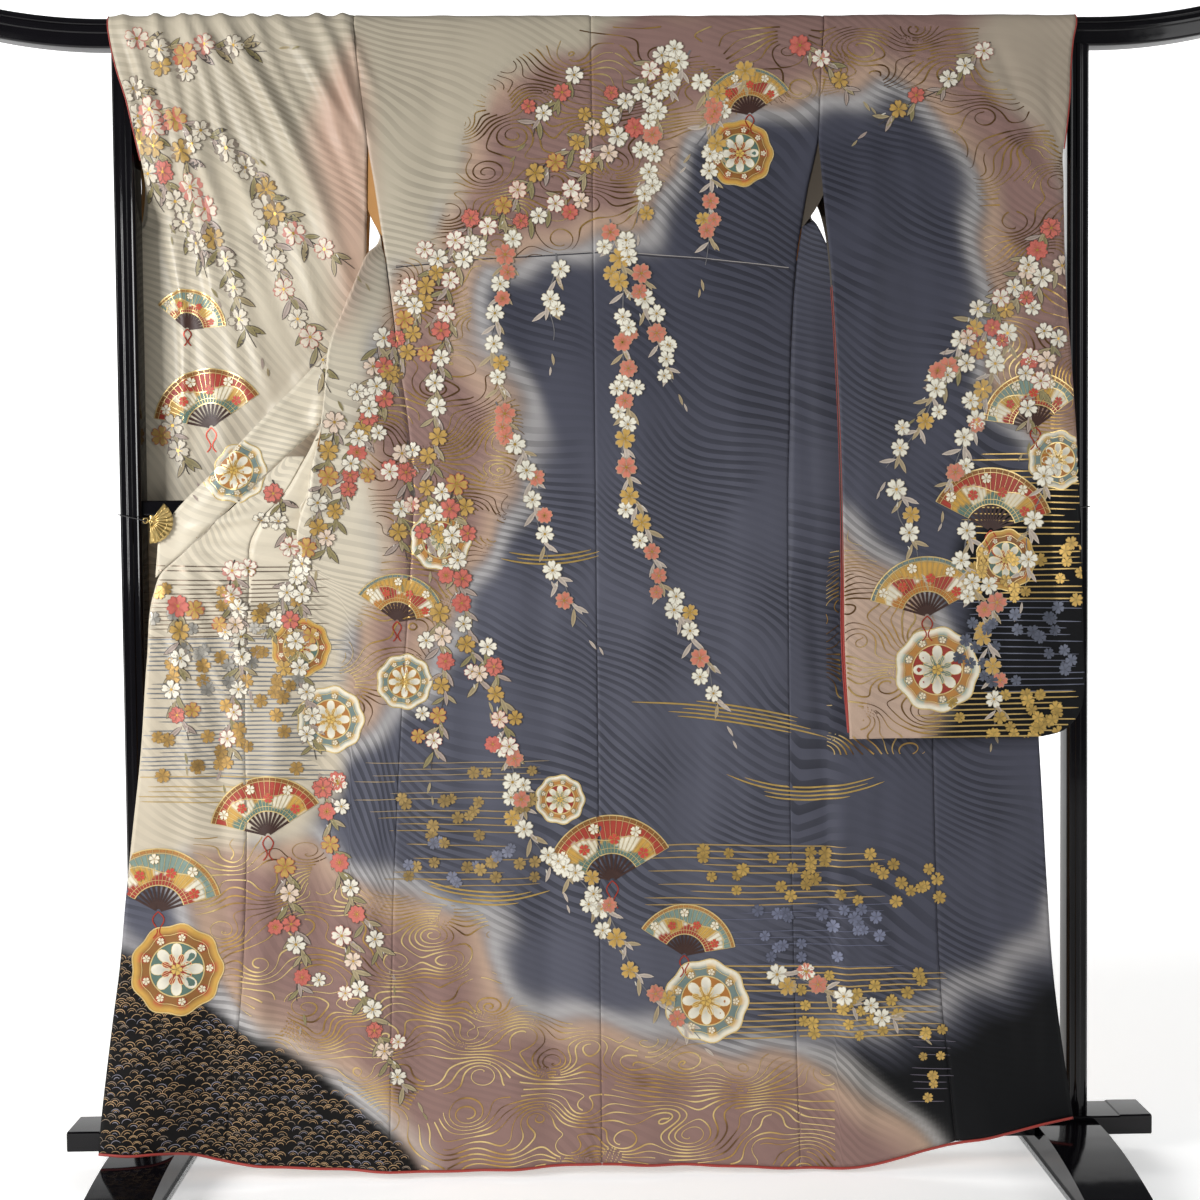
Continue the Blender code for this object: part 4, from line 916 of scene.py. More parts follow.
def panel(name, coarse, rows, columns, sewn=(), flip=1):
    """Refine, fold, thicken and colour one panel, with dye and painted shade. Gives back its object, middle and
    outer grids and cut.
    """
    grid = refine(refine(coarse, rows, 0), columns, 1)
    face = normals(grid) * flip
    x, z = grid[..., 0], grid[..., 2]
    front = ease(-face[..., 1], -0.75, 0.0)
    # the far side has the same folds mirrored, where they rise
    behind = 0.8 * np.maximum(fold_height(0.05 - x, z), 0) * (1 - front)
    push = (fold_height(x, z) * front + behind + ripple(x + 0.37 * (face[..., 1] > 0), z)) * ease(z, 0.02, 0.10)
    if name.startswith("body"):
        push = push + tuck_height(x, z) * front
    # a trough stays off the rail
    push = np.maximum(push, -0.0008 - 0.02 * (1 - ease(z, 1.55, 1.61)))
    grid = grid + face * push[..., None]
    face = normals(grid) * flip
    outer = grid + face * (SHELL / 2 - seam_dip(grid, sewn))[..., None]
    inner = grid - face * SHELL / 2
    count = rows * columns
    quads = grid_faces(rows, columns)
    index = np.arange(count).reshape(rows, columns)
    rim = np.concatenate([index[0, :], index[1:, -1], index[-1, -2::-1], index[-2:0:-1, 0]])
    after = np.roll(rim, -1)
    edge = np.stack([rim, rim + count, after + count, after], axis=1)
    if flip > 0:
        quads, edge = quads[:, ::-1], edge[:, ::-1]
    faces = np.concatenate([quads, quads[:, ::-1] + count, edge])
    slots = np.repeat([0, 1, 0], [len(quads), len(quads), len(edge)])
    # the right sleeve's lining is the ochre lining in painted shade
    made = put_mesh("dressed_" + name, np.concatenate([outer.reshape(-1, 3), inner.reshape(-1, 3)]), faces,
                    [SILK[name], SHADED_LINING if name == "sleeve_right" else OCHRE_LINING], slots)
    store_colours(made, "dye_and_painted_shade", np.tile(dye_and_painted_shade(x, z, name).reshape(-1, 4), (2, 1)))
    along, across = np.meshgrid(lengths(grid, 0), lengths(grid, 1), indexing="ij")
    threads = np.tile(join(across, along).reshape(-1, 2), (2, 1))
    store_map(made, "threads", lambda corners: threads[corners])
    area = np.linalg.norm(np.cross(np.diff(grid, axis=0)[:, :-1], np.diff(grid, axis=1)[:-1]), axis=2).sum()
    size = (float(lengths(grid, 1)[-1]), float(lengths(grid, 0)[-1]))
    print(f"{name}: {len(faces)} faces, mean {size[0]:.3f} x {size[1]:.3f} m, area {area:.3f} m2")
    stand_for(name)
    return made, grid, outer, (size, float(area))


panels, grids, outers, cuts = {}, {}, {}, {}
for side, word in SIDES:
    for piece, coarse, rows, columns, sewn, flip in (
            ("body", body_grid(side), 480, 72, ("first", "last"), side),
            ("okumi", okumi_grid(side), 200, 30, ("first",), -side),
            ("sleeve", sleeve_grid(side), 340, 72, (), -side)):
        name = f"{piece}_{word}"
        panels[name], grids[name], outers[name], cuts[name] = panel(name, coarse, rows, columns, sewn, flip)
name = "collar"
panels[name], grids[name], outers[name], cuts[name] = panel(name, collar_grid(), 320, 10, ("first",))

# %% [markdown]
# ## Seams
# Two panels meet edge to edge. Behind each seam lies the seam allowance, so that nothing shines through it: a
# narrow strip from a few millimetres inside one panel to a few inside the other, just behind the cloth. Its
# dark grey is painted shade, as in the depth of a seam.

# %% Seam allowances


def match(line, heights):
    """Points of a rising or falling line at the given heights, each coordinate read off between its points."""
    if line[0, 2] > line[-1, 2]:
        line = line[::-1]
    return np.stack([np.interp(heights, line[:, 2], line[:, axis]) for axis in range(3)], axis=1)


def allowance(name, lines, back=0.0015, material=SEAM_SHADE_SILK):
    """A strip through lines of equal length, set that far back from the cloth. Its hidden side is lining."""
    strip = np.stack(lines, axis=1) + [0, back, 0]
    rows, columns, _ = strip.shape
    wide = np.concatenate([strip.reshape(-1, 3), strip.reshape(-1, 3) + [0, 0.0004, 0]])
    quads = grid_faces(rows, columns)
    faces = np.concatenate([quads, quads[:, ::-1] + rows * columns])
    made = put_mesh(name, wide, faces, [material, OCHRE_LINING], np.repeat([0, 1], len(quads)))
    return made


def half_rows(grid, near):
    """The rows of a panel on the near or the far side of the rail."""
    top = int(np.argmax(grid[:, 0, 2]))
    return grid[:top] if near else grid[top:]


left, right = grids["body_left"], grids["body_right"]
top = left[:, -1, 2].argmax()
seams = [allowance("seam_centre_back", [left[:top, -3], left[:top, -1], right[:top, -1], right[:top, -3]])]
for side, word in SIDES:
    body, okumi, sleeve = (grids[f"{piece}_{word}"] for piece in ("body", "okumi", "sleeve"))
    back, front = half_rows(body, True), half_rows(body, False)
    sleeve = half_rows(sleeve, True)
    for label, low, high, count, lines in (
            ("side", 0.02, 1.29, 260, (back[:, 3], back[:, 0], front[:, 0], front[:, 3])),
            ("overlap", 0.02, 0.86, 180, (front[:, -3], front[:, -1], okumi[:, 0], okumi[:, 3])),
            ("armhole", SLEEVE_SEWN + 0.004, 1.615, 60, (back[:, 3], back[:, 0], sleeve[:, 0], sleeve[:, 3]))):
        levels = np.linspace(low, high, count)
        seams.append(allowance(f"seam_{label}_{word}", [match(line, levels) for line in lines]))
    # under the arm lining fills the slit between body and sleeve, down to a line that slants to the body
    low, kink = place([[383, 232], [369, 195]] if side < 0 else [[803, 225], [825, 192]])[:, 1]
    levels = np.linspace(low, SLEEVE_SEWN + 0.02, 40)
    edge = match(back[:, 0], levels)
    reach = (match(sleeve[:, 0], levels) - edge) * np.clip((levels - low) / (kink - low), 0, 1)[:, None]
    # the right underarm's lining is the ochre lining in painted shade
    seams.append(allowance(f"underarm_lining_{word}", [edge + reach * s for s in (0, 0.35, 0.7, 1.08)],
                           0.0022, OCHRE_LINING if side < 0 else SHADED_LINING))
print("seam allowances:", len(seams))

# %% [markdown]
# ## Rolled edges
# At the hem and the cuffs the red lining is rolled out past the silk as a padded edge a few millimetres thick.
# It is an oval carried along the edge of the cloth.

# %% Carry a section along a path


def carry(path, wide, tall, across, around=False, sides=12):
    """Rings about a path: point + up * cos(a) * tall / 2 + side * sin(a) * wide / 2, up square to both."""
    ahead = (np.roll(path, -1, 0) - np.roll(path, 1, 0)) if around else np.gradient(path, axis=0)
    up = unit(np.cross(ahead, across))
    beside = unit(np.cross(ahead, up))
    angle = (2 * math.pi * np.arange(sides) / sides)[None, :, None]
    wide, tall = (np.broadcast_to(size, len(path))[:, None, None] for size in (wide, tall))
    return path[:, None] + up[:, None] * np.cos(angle) * tall / 2 + beside[:, None] * np.sin(angle) * wide / 2


def close_tube(name, rings, material, around=False):
    """Turn rings into a closed tube, its ends shut by flat faces unless it runs round."""
    rows, sides, _ = rings.shape
    index = np.arange(rows * sides).reshape(rows, sides)
    first, last = index[0], index[-1]
    faces = grid_faces(rows, sides, True).tolist()
    if around:
        faces += np.stack([last, np.roll(last, -1), np.roll(first, -1), first], axis=-1).tolist()
    else:
        faces += [first[::-1].tolist(), last.tolist()]
    made = put_mesh(name, rings.reshape(-1, 3), faces, [material])
    shape = bmesh.new()
    shape.from_mesh(made.data)
    bmesh.ops.recalc_face_normals(shape, faces=shape.faces)
    shape.to_mesh(made.data)
    shape.free()
    return made


def rod(name, path, wide, tall, material, across=(0, 1, 0), around=False, sides=12):
    """A closed tube with an oval section along a path."""
    return close_tube(name, carry(path, wide, tall, across, around, sides), material, around)


# %% Hem, cuffs and the sleeves' inner edges
rolls = {}
for side, word in SIDES:
    body, okumi, sleeve = (grids[f"{piece}_{word}"] for piece in ("body", "okumi", "sleeve"))
    path = np.concatenate([body[0, ::-1], body[-1, 2:-2], okumi[0, 2:]]) - [0, 0, SEAM + FUKI / 2]
    rolls[f"hem_{word}"] = rod(f"dressed_hem_roll_{word}", path, 0.0032, FUKI, RED_LINING)
    edge = sleeve[:, -1]
    path = edge[edge[:, 2] >= CUFF_END] + [side * 0.0012, 0, 0]
    rolls[f"cuff_{word}"] = rod(f"dressed_cuff_roll_{word}", path, 0.0018, 0.0022, RED_LINING, (1, 0, 0))
    for place_of in ("hem", "cuff"):
        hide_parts(f"{place_of}_roll_{word}")
    for layer, proud in (("near", 0.0006), ("far", -0.0006)):
        edge = half_rows(sleeve, layer == "near")[:, 0]
        low = edge[(edge[:, 2] > 0.625) & (edge[:, 2] < 1.25)]
        width = 0.0010 + 0.0022 * (1 - ease(low[:, 2], 0.75, 0.95))
        path = low + join(-side * 0.3 * width, proud, 0.0)
        name = f"sleeve_lining_edge_{layer}_{word}"
        rolls[f"{layer}_{word}"] = rod(name, path, 0.0012, width, RED_LINING, sides=8)

# %% [markdown]
# ## Closed sleeve bottoms
# A furisode's sleeve is a bag: below the cuff its outer edge is sewn shut, round the corner and along the
# bottom. A strip from the near layer's edge to the far layer's closes it.

# %% Close the sleeves
closings = {}
for side, word in SIDES:
    sleeve = grids[f"sleeve_{word}"]
    levels = np.linspace(0.6215, CUFF_END, 240)
    line_near, line_far = (np.concatenate([layer[1, 1:-2], match(layer[:, -2], levels)])
                           for layer in (half_rows(sleeve, True), half_rows(sleeve, False)[::-1]))
    across = np.linspace(0, 1, 5)[:, None, None]
    strip = np.moveaxis(line_near * (1 - across) + line_far * across, 0, 1)
    made = put_mesh(f"sleeve_closing_{word}", strip.reshape(-1, 3), grid_faces(*strip.shape[:2]),
                    [SILK[f"sleeve_{word}"]])
    store_colours(made, "dye_and_painted_shade", dye_and_painted_shade(strip[..., 0], strip[..., 2], f"sleeve_{word}").reshape(-1, 4))
    made.data.uv_layers.new(name="threads")
    closings[word] = made

# %% [markdown]
# ## Lacquered stand
# The stand is wood under many coats of black lacquer, rubbed until it mirrors: a very dark body, little
# roughness, and faint unevenness left by the brush. Its mouldings are profiles carried along each bar.

# %% Black lacquer on wood
LACQUER, shader = start_material("black_lacquer_on_wood")
where = add_node(LACQUER, "TexCoord", {}).outputs["Object"]
brushed = add_node(LACQUER, "TexNoise", {"Vector": where, "Scale": 26.0, "Detail": 1.0})
blacks = {6: (*linear("#060507"), 1), 7: (*linear("#0E0C10"), 1)}
body_colour = add_node(LACQUER, "Mix", {"Factor": brushed, **blacks},
                       data_type="RGBA")
dust = add_node(LACQUER, "TexNoise", {"Vector": where, "Scale": 140.0, "Detail": 3.0})
gloss = add_node(LACQUER, "MapRange", {0: dust, 3: 0.06, 4: 0.13})
uneven = add_node(LACQUER, "Bump", {"Height": brushed, "Strength": 0.25, "Distance": 0.0006})
feed(LACQUER, shader, {"Base Color": body_colour.outputs[2], "Roughness": gloss, "Normal": uneven,
                       "Specular IOR Level": 0.28})

# %% Bars with a moulded profile


def soften(profile, trim=0.35, steps=4):
    """Round a closed profile: each corner gives way to a curve between points part way to its neighbours."""
    p = np.asarray(profile, dtype=float)
    t = np.linspace(0, 1, steps)[None, :, None]
    ends = []
    for turn in (1, -1):
        step = np.roll(p, turn, 0) - p
        reach = np.minimum(trim, 0.0016 / np.maximum(np.linalg.norm(step, axis=1), 1e-6))[:, None, None]
        ends.append(p[:, None] + step[:, None] * reach)
    return ((1 - t) ** 2 * ends[0] + 2 * t * (1 - t) * p[:, None] + t**2 * ends[1]).reshape(-1, 2)


def bar(name, rings, node):
    """Join rings of points into one closed bar with crisp shading, in place of a solid."""
    made = close_tube(name, np.asarray(rings), LACQUER)
    made.data.set_sharp_from_angle(angle=math.radians(38))
    stand_for(node)


def mirrored(points, ways):
    """A closed outline from one part of it, turned over by pairs of signs, every second one read backwards."""
    return [(sx * x, sy * y) for k, (sx, sy) in enumerate(ways) for x, y in (points[::-1] if k % 2 else points)]


x = np.concatenate([np.linspace(-RAIL_HALF, -RAIL_STRAIGHT, 30), np.linspace(RAIL_STRAIGHT, RAIL_HALF, 30)])
# half depth of the rail against the drop from its top
half_profile = ((0.0060, 0.0), (0.0118, 0.0016), (0.0152, 0.0058), (0.0164, 0.0100), (0.0150, 0.0113),
                (0.0150, 0.0122), (0.0168, 0.0136), (0.0172, 0.0185), (0.0168, 0.0222), (0.0150, 0.0232),
                (0.0150, 0.0241), (0.0146, 0.0330), (0.0126, 0.0408), (0.0100, RAIL_HEIGHT))
profile = soften(mirrored(half_profile, ((-1, -1), (1, -1))))
rise = RAIL_RISE * np.maximum(np.abs(x) - RAIL_STRAIGHT, 0) ** 2
bar("moulded_rail", join(x[:, None], profile[:, 0], RAIL_TOP + rise[:, None] + profile[:, 1]), "top_rail")

# a post's outline seen from above: chamfered corners and a low bead down the middle of its front and back
w, d = POST_WIDTH / 2, POST_DEPTH / 2
quarter = ((0.0030, d + 0.0006), (0.0042, d - 0.0008), (0.0100, d - 0.0008), (0.0118, d),
           (w - 0.0030, d - 0.0012), (w, d - 0.0042))
outline = soften(mirrored(quarter, ((1, 1), (1, -1), (-1, -1), (-1, 1))))
for side, word in SIDES:
    heights = np.array([BEAM_TOP + SEAM, RAIL_TOP - RAIL_HEIGHT - SEAM])
    centre = side * (POST_INNER + POST_WIDTH / 2)
    bar(f"moulded_post_{word}", join(centre + outline[:, 0], outline[:, 1], heights[:, None]), f"post_{word}")

# %% Feet, beam and crossbar
arch = np.array([(0.290, 0.008), (0.270, 0.017), (0.240, 0.027), (0.200, 0.037), (0.160, 0.045),
                 (0.120, 0.0505), (0.080, 0.053)])
reach = np.linspace(0.290, 0.080, 26)
fine = join(reach, np.interp(reach, arch[::-1, 0], arch[::-1, 1]))
fine[1:-1, 1] = (fine[:-2, 1] + fine[1:-1, 1] + fine[2:, 1]) / 3
notch = BEAM_DEPTH / 2 + SEAM
rising = np.concatenate([fine, [(notch, fine[-1, 1]), (notch, BEAM_BOTTOM - SEAM)]])
tops = np.concatenate([rising, rising[::-1] * [-1, 1]])
turn = np.linspace(0, math.pi / 2, 5)
inset = np.concatenate([0.006 * (1 - np.sin(turn)), FOOT_WIDTH - 0.006 * (1 - np.sin(turn[::-1]))])
lower = np.concatenate([0.006 * (1 - np.cos(turn))[::-1], 0.006 * (1 - np.cos(turn))])
for side, word in SIDES:
    rings = []
    for step, drop in zip(inset, lower):
        heights = tops[:, 1] - np.minimum(drop, tops[:, 1] / 2)
        edge = np.concatenate([join(tops[:, 0], heights), [(-0.290, 0.0), (0.290, 0.0)]])
        rings.append(join(side * (FOOT_INNER + step), *edge.T))
    bar(f"arched_foot_{word}", rings, f"foot_{word}")

step, lift = 0.735, 0.0016
runs = ((-BEAM_HALF, lift, 0.0012), (-BEAM_HALF + 0.0012, lift, 0), (-step, lift, 0), (-step + 0.002, 0, 0),
        (step - 0.002, 0, 0), (step, lift, 0), (BEAM_HALF - 0.0012, lift, 0), (BEAM_HALF, lift, 0.0012))
rings = []
for at, raised, shrink in runs:
    d, top, low = BEAM_DEPTH / 2 - shrink, BEAM_TOP + raised - shrink, BEAM_BOTTOM + shrink
    section = soften([(-d, low), (d, low), (d, top - 0.0015), (d - 0.0015, top), (-d + 0.0015, top),
                      (-d, top - 0.0015)])
    rings.append(join(at, *section.T))
bar("stand_beam", rings, "lower_beam")

middle, h, d = (BAR_TOP + BAR_BOTTOM) / 2, (BAR_TOP - BAR_BOTTOM) / 2, BAR_DEPTH / 2
section = soften([(-d + 0.003, -h), (d - 0.003, -h), (d, -h + 0.003), (d, h - 0.003), (d - 0.003, h),
                  (-d + 0.003, h), (-d, h - 0.003), (-d, -h + 0.003)])
bar("stand_crossbar", [join(at, section[:, 0], middle + section[:, 1])
                       for at in (-POST_INNER + SEAM, POST_INNER - SEAM)], "crossbar_mid")
print("stand pieces: 7")

# %% [markdown]
# ## Fan clips
# Each collar end is held by a small brass fan, stamped from sheet: pleats that rise and fall round the pivot, a
# rib on each fold, a rolled rim and a rivet. A sprung jaw behind it pinches the cloth. The pleats are a grid of
# radius and angle, y = base - fold * radius, with every second angle proud.

# %% Gilt brass
BRASS, shader = start_material("gilt_stamped_brass")
where = add_node(BRASS, "TexCoord", {}).outputs["Object"]
wear = add_node(BRASS, "TexNoise", {"Vector": where, "Scale": 60.0, "Detail": 2.0})
tone = add_node(BRASS, "Mix", {"Factor": wear, 6: (*linear("#B79A58"), 1), 7: (*linear("#DCC48A"), 1)},
                data_type="RGBA")
worn = add_node(BRASS, "MapRange", {0: wear, 3: 0.26, 4: 0.38})
feed(BRASS, shader, {"Base Color": tone.outputs[2], "Roughness": worn, "Metallic": 1.0})

# %% Make the clips
RIBS = 11
FAN_FROM, FAN_TO = math.radians(-92), math.radians(52)
RIVET_OUT, RIVET_Y, RIVET_Z = 0.619, -0.0515 - 0.0034, 0.931     # the pivot, from the garment's centre line


def fan_clip(side, word):
    """Make one clip from points given as out, y and z, and give back where the ear's hole is."""
    pivot = collar_out(side, RIVET_OUT)

    def at(out, y, z):
        return join(side * (pivot + out), RIVET_Y + y, RIVET_Z + z)

    angle = np.linspace(FAN_FROM, FAN_TO, 8 * (RIBS - 1) + 1)
    pleat = np.abs((np.arange(len(angle)) / 4) % 2 - 1)
    r, a = np.meshgrid(np.linspace(0.0035, 0.0300, 12), angle, indexing="ij")
    r = r + 0.0010 * pleat[None, :] * (r > 0.029)
    fan = at(-r * np.cos(a), -0.0022 * pleat[None, :] * r / 0.03, r * np.sin(a))
    leaf = put_mesh(f"fan_leaf_{word}", fan.reshape(-1, 3), grid_faces(*fan.shape[:2]), [BRASS])
    sheet = leaf.modifiers.new("sheet brass", "SOLIDIFY")
    sheet.thickness = 0.0008
    sheet.offset = 0
    reach = np.array([0.001, 0.012, 0.0305])
    proud = -0.0006 - 0.0022 * reach / 0.03
    tubes = [(f"rib_{word}_{number}", at(-reach * math.cos(a), proud, reach * math.sin(a)),
              0.0012, np.array([0.0010, 0.0013, 0.0017]), (0, 1, 0), False, 8)
             for number, a in enumerate(np.linspace(FAN_FROM, FAN_TO, RIBS))]
    arc = np.linspace(FAN_FROM, FAN_TO, 60)
    tubes.append((f"band_{word}", at(-0.0225 * np.cos(arc), -0.0012, 0.0225 * np.sin(arc)), 0.0009, 0.0012,
                  (0, 1, 0), False, 8))
    ring = np.linspace(0, 2 * math.pi, 32, endpoint=False)
    for label, out, up, big, thick in (("rivet", 0.0, 0.0, 0.0020, 0.0024),
                                       ("ear", 0.0075, 0.0010, 0.0034, 0.0016)):
        path = at(out + big * np.cos(ring), -0.0002, up + big * np.sin(ring))
        tubes.append((f"{label}_{word}", path, thick, thick, (0, 1, 0), True, 10))
    # the sprung jaw behind the cloth, and the hinge through the pivot
    t = np.linspace(0, 1, 10)
    tubes.append((f"jaw_{word}", at(0.004 - 0.024 * t, -0.0492 - RIVET_Y, 0.0), 0.0014, 0.018 - 0.004 * t,
                  (0, 1, 0), False, 14))
    tubes.append((f"hinge_{word}", at(0.0025, np.linspace(0, -0.0490 - RIVET_Y, 4), 0.0), 0.0030, 0.011,
                  (0, 0, 1), False, 12))
    pieces = [rod("fan_" + label, path, wide, tall, BRASS, across, around, sides)
              for label, path, wide, tall, across, around, sides in tubes]
    for made in (leaf, *pieces):
        stand_for(f"clip_{word}")
    return side * (pivot + 0.0075), RIVET_Z + 0.001


# %% Black silk string
STRING, shader = start_material("black_twisted_silk_string")
cord_map = add_node(STRING, "UVMap", {}, uv_map="length_and_turn")
parts = add_node(STRING, "SeparateXYZ", {0: cord_map})
# two plies, one turn each 3 mm
twist = add_node(STRING, "Math", {0: parts, 1: 1 / 0.003, 2: 0.0}, operation="MULTIPLY_ADD")
both = add_node(STRING, "Math", {0: parts.outputs["Y"], 1: 2.0, 2: twist}, operation="MULTIPLY_ADD")
ply = add_node(STRING, "Math", {0: both}, operation="FRACT")
dark = add_node(STRING, "Mix", {"Factor": ply, 6: (*linear("#0B0A0A"), 1), 7: (*linear("#2A2727"), 1)},
                data_type="RGBA")
ply_bump = add_node(STRING, "Bump", {"Height": ply, "Strength": 0.4, "Distance": 0.0003})
feed(STRING, shader, {"Base Color": dark.outputs[2], "Normal": ply_bump, "Roughness": 0.6})


def string_loop(side, word, hole):
    """A closed loop from the clip's ear round the post and back, straight between rounded corners."""
    clear = CORD_RADIUS + 0.0004
    inner, outer = POST_INNER - clear, POST_INNER + POST_WIDTH + clear
    deep = POST_DEPTH / 2 + clear + 0.0006
    x, z, y = abs(hole[0]), hole[1], -0.0541
    corners = np.array([(x, y + 0.005, z), (inner, -deep, 0.930), (inner, deep, 0.931), (outer, deep, 0.940),
                        (outer, -deep, 0.942), (x, y - 0.007, z)])
    turns = zip(np.roll(corners, 1, 0), corners, np.roll(corners, -1, 0))
    path = np.array([point for turn in turns for point in round_corner(*turn, 0.0028, np.linspace(0, 1, 7))])
    path[:, 0] *= side
    made = rod(f"string_{word}", path, 2 * CORD_RADIUS, 2 * CORD_RADIUS, STRING, (0.1, 0.2, 1), True, 10)
    closed = np.vstack([path, path[:1]])
    gone = np.concatenate([[0], np.cumsum(np.linalg.norm(np.diff(closed, axis=0), axis=1))])
    store_map(made, "length_and_turn", lambda corners: join(gone[corners // 10], (corners % 10) / 10))
    stand_for(f"cord_loop_{word}")
    print(f"string_{word}: {gone[-1]:.3f} m")


for side, word in SIDES:
    string_loop(side, word, fan_clip(side, word))


# %% [markdown]
# ## Prints and embroidery
# The blossoms, curls, waves and mist are painted, printed in gold leaf and couched in gold thread. Each is a
# flat shape of triangles on the photo's plane. All of them are then pressed on the garment: a Shrinkwrap
# modifier moves every point straight back until it meets the silk, and triangles that bridge a step are left
# out. They keep their own colours in a point attribute, so one finish serves a whole sheet of them.

# %% Painted and gilded finishes


def ink_finish(name, metal, rough, grain_size, depth):
    """A finish whose colour is the attribute named ink, with a fine woven grain in its bump."""
    made, shader = start_material(name)
    ink = add_node(made, "Attribute", {}, attribute_name="ink")
    where = add_node(made, "TexCoord", {}).outputs["Object"]
    mottle = add_node(made, "TexNoise", {"Vector": where, "Scale": 90.0, "Detail": 2.0})
    shade = add_node(made, "MapRange", {0: mottle, 3: 0.82, 4: 1.14})
    tinted = add_node(made, "VectorMath", {0: ink, 1: shade}, operation="MULTIPLY")
    grain = add_node(made, "TexNoise", {"Vector": where, "Scale": grain_size, "Detail": 2.0})
    bump = add_node(made, "Bump", {"Height": grain, "Strength": depth, "Distance": 0.0004})
    worn = add_node(made, "MapRange", {0: mottle, 3: rough - 0.08, 4: rough + 0.10})
    feed(made, shader, {"Base Color": tinted, "Normal": bump, "Roughness": worn, "Metallic": metal})
    return made


PAINT = ink_finish("dye_painted_on_silk", 0.0, 0.50, 900.0, 0.15)
GOLD = ink_finish("gold_leaf_and_couched_gold_thread", 0.55, 0.34, 1200.0, 0.3)

# %% The bed the prints are pressed on
# all panels' outer faces as one mesh that is deleted at the end
beds = list(outers.values())
starts = np.cumsum([0] + [grid.shape[0] * grid.shape[1] for grid in beds])
BED = new_object("press_bed", np.concatenate([grid.reshape(-1, 3) for grid in beds]),
                 np.concatenate([grid_faces(*grid.shape[:2]) + start for grid, start in zip(beds, starts)]))
PRESS_FROM = -0.6       # metres, in front of everything


def start_sheet():
    """An empty sheet of prints."""
    return {"points": [], "faces": [], "inks": [], "rises": [], "count": 0}


def lay(sheet, points, faces, inks, rises=0.0):
    """Add flat points, their triangles, colours and how far each stands above the sheet's lift."""
    sheet["points"].append(points)
    sheet["faces"].append(faces + sheet["count"])
    sheet["inks"].append(np.broadcast_to(inks, (len(points), 3)))
    sheet["rises"].append(np.broadcast_to(rises, len(points)))
    sheet["count"] += len(points)


def press(name, sheet, finish, lift):
    """Press a sheet on the silk and keep the triangles that lie flat on it, lifted towards the viewer."""
    flat, faces, inks, rises = (np.concatenate(sheet[key]) for key in ("points", "faces", "inks", "rises"))
    made = new_object("unpressed", join(flat[:, 0], PRESS_FROM, flat[:, 1]), faces)
    press_on = made.modifiers.new("press", "SHRINKWRAP")
    press_on.target = BED
    press_on.wrap_method = "PROJECT"
    press_on.use_project_y = True
    done = made.evaluated_get(bpy.context.evaluated_depsgraph_get()).data
    points = np.empty(len(flat) * 3)
    done.vertices.foreach_get("co", points)
    points = points.reshape(-1, 3)
    unpressed = made.data
    bpy.data.objects.remove(made, do_unlink=True)
    bpy.data.meshes.remove(unpressed)
    hit = np.abs(points[:, 1] - PRESS_FROM) > 0.01
    wide = np.ptp(flat[faces], axis=1).max(axis=1)
    keep = hit[faces].all(axis=1) & (np.ptp(points[faces, 1], axis=1) < 0.0016 + 1.3 * wide)
    used, renumbered = np.unique(faces[keep], return_inverse=True)
    points = points[used]
    points[:, 1] -= lift + rises[used]
    made = put_mesh(name, points, renumbered.reshape(-1, 3), [finish])
    store_colours(made, "ink", np.column_stack([inks[used], np.ones(len(used))]))
    print(f"{name}: {int(keep.sum())} triangles pressed on, {int((~keep).sum())} left out")


# %% [markdown]
# ## Flowing gold lines
# Over the mauve runs a water pattern, long lines that part round pools and curl up in them. We take a slow
# slope, add a soft hill at each pool, and draw the contour lines of the sum. Adding the angle around a pool's
# centre, divided by a full turn, joins each ring to the next, so the rings become spirals.

# %% Contour lines as thin strips


def water(x, z, pools, gap):
    """Phase of the water lines: (z + hills) / gap + the sum of angles around the pools over a full turn."""
    total = 0.45 * z + 0.006 * np.sin(9 * x + 4 * z) + 0.004 * np.sin(21 * x - 11 * z)
    turns = np.zeros_like(x)
    for cx, cz, tall, wide, spin in pools:
        total = total + tall * np.exp(-((x - cx) / (1.5 * wide)) ** 2 - ((z - cz) / wide) ** 2)
        turns = turns + spin * np.arctan2(z - cz, (x - cx) / 1.5) / (2 * math.pi)
    return total / gap + turns


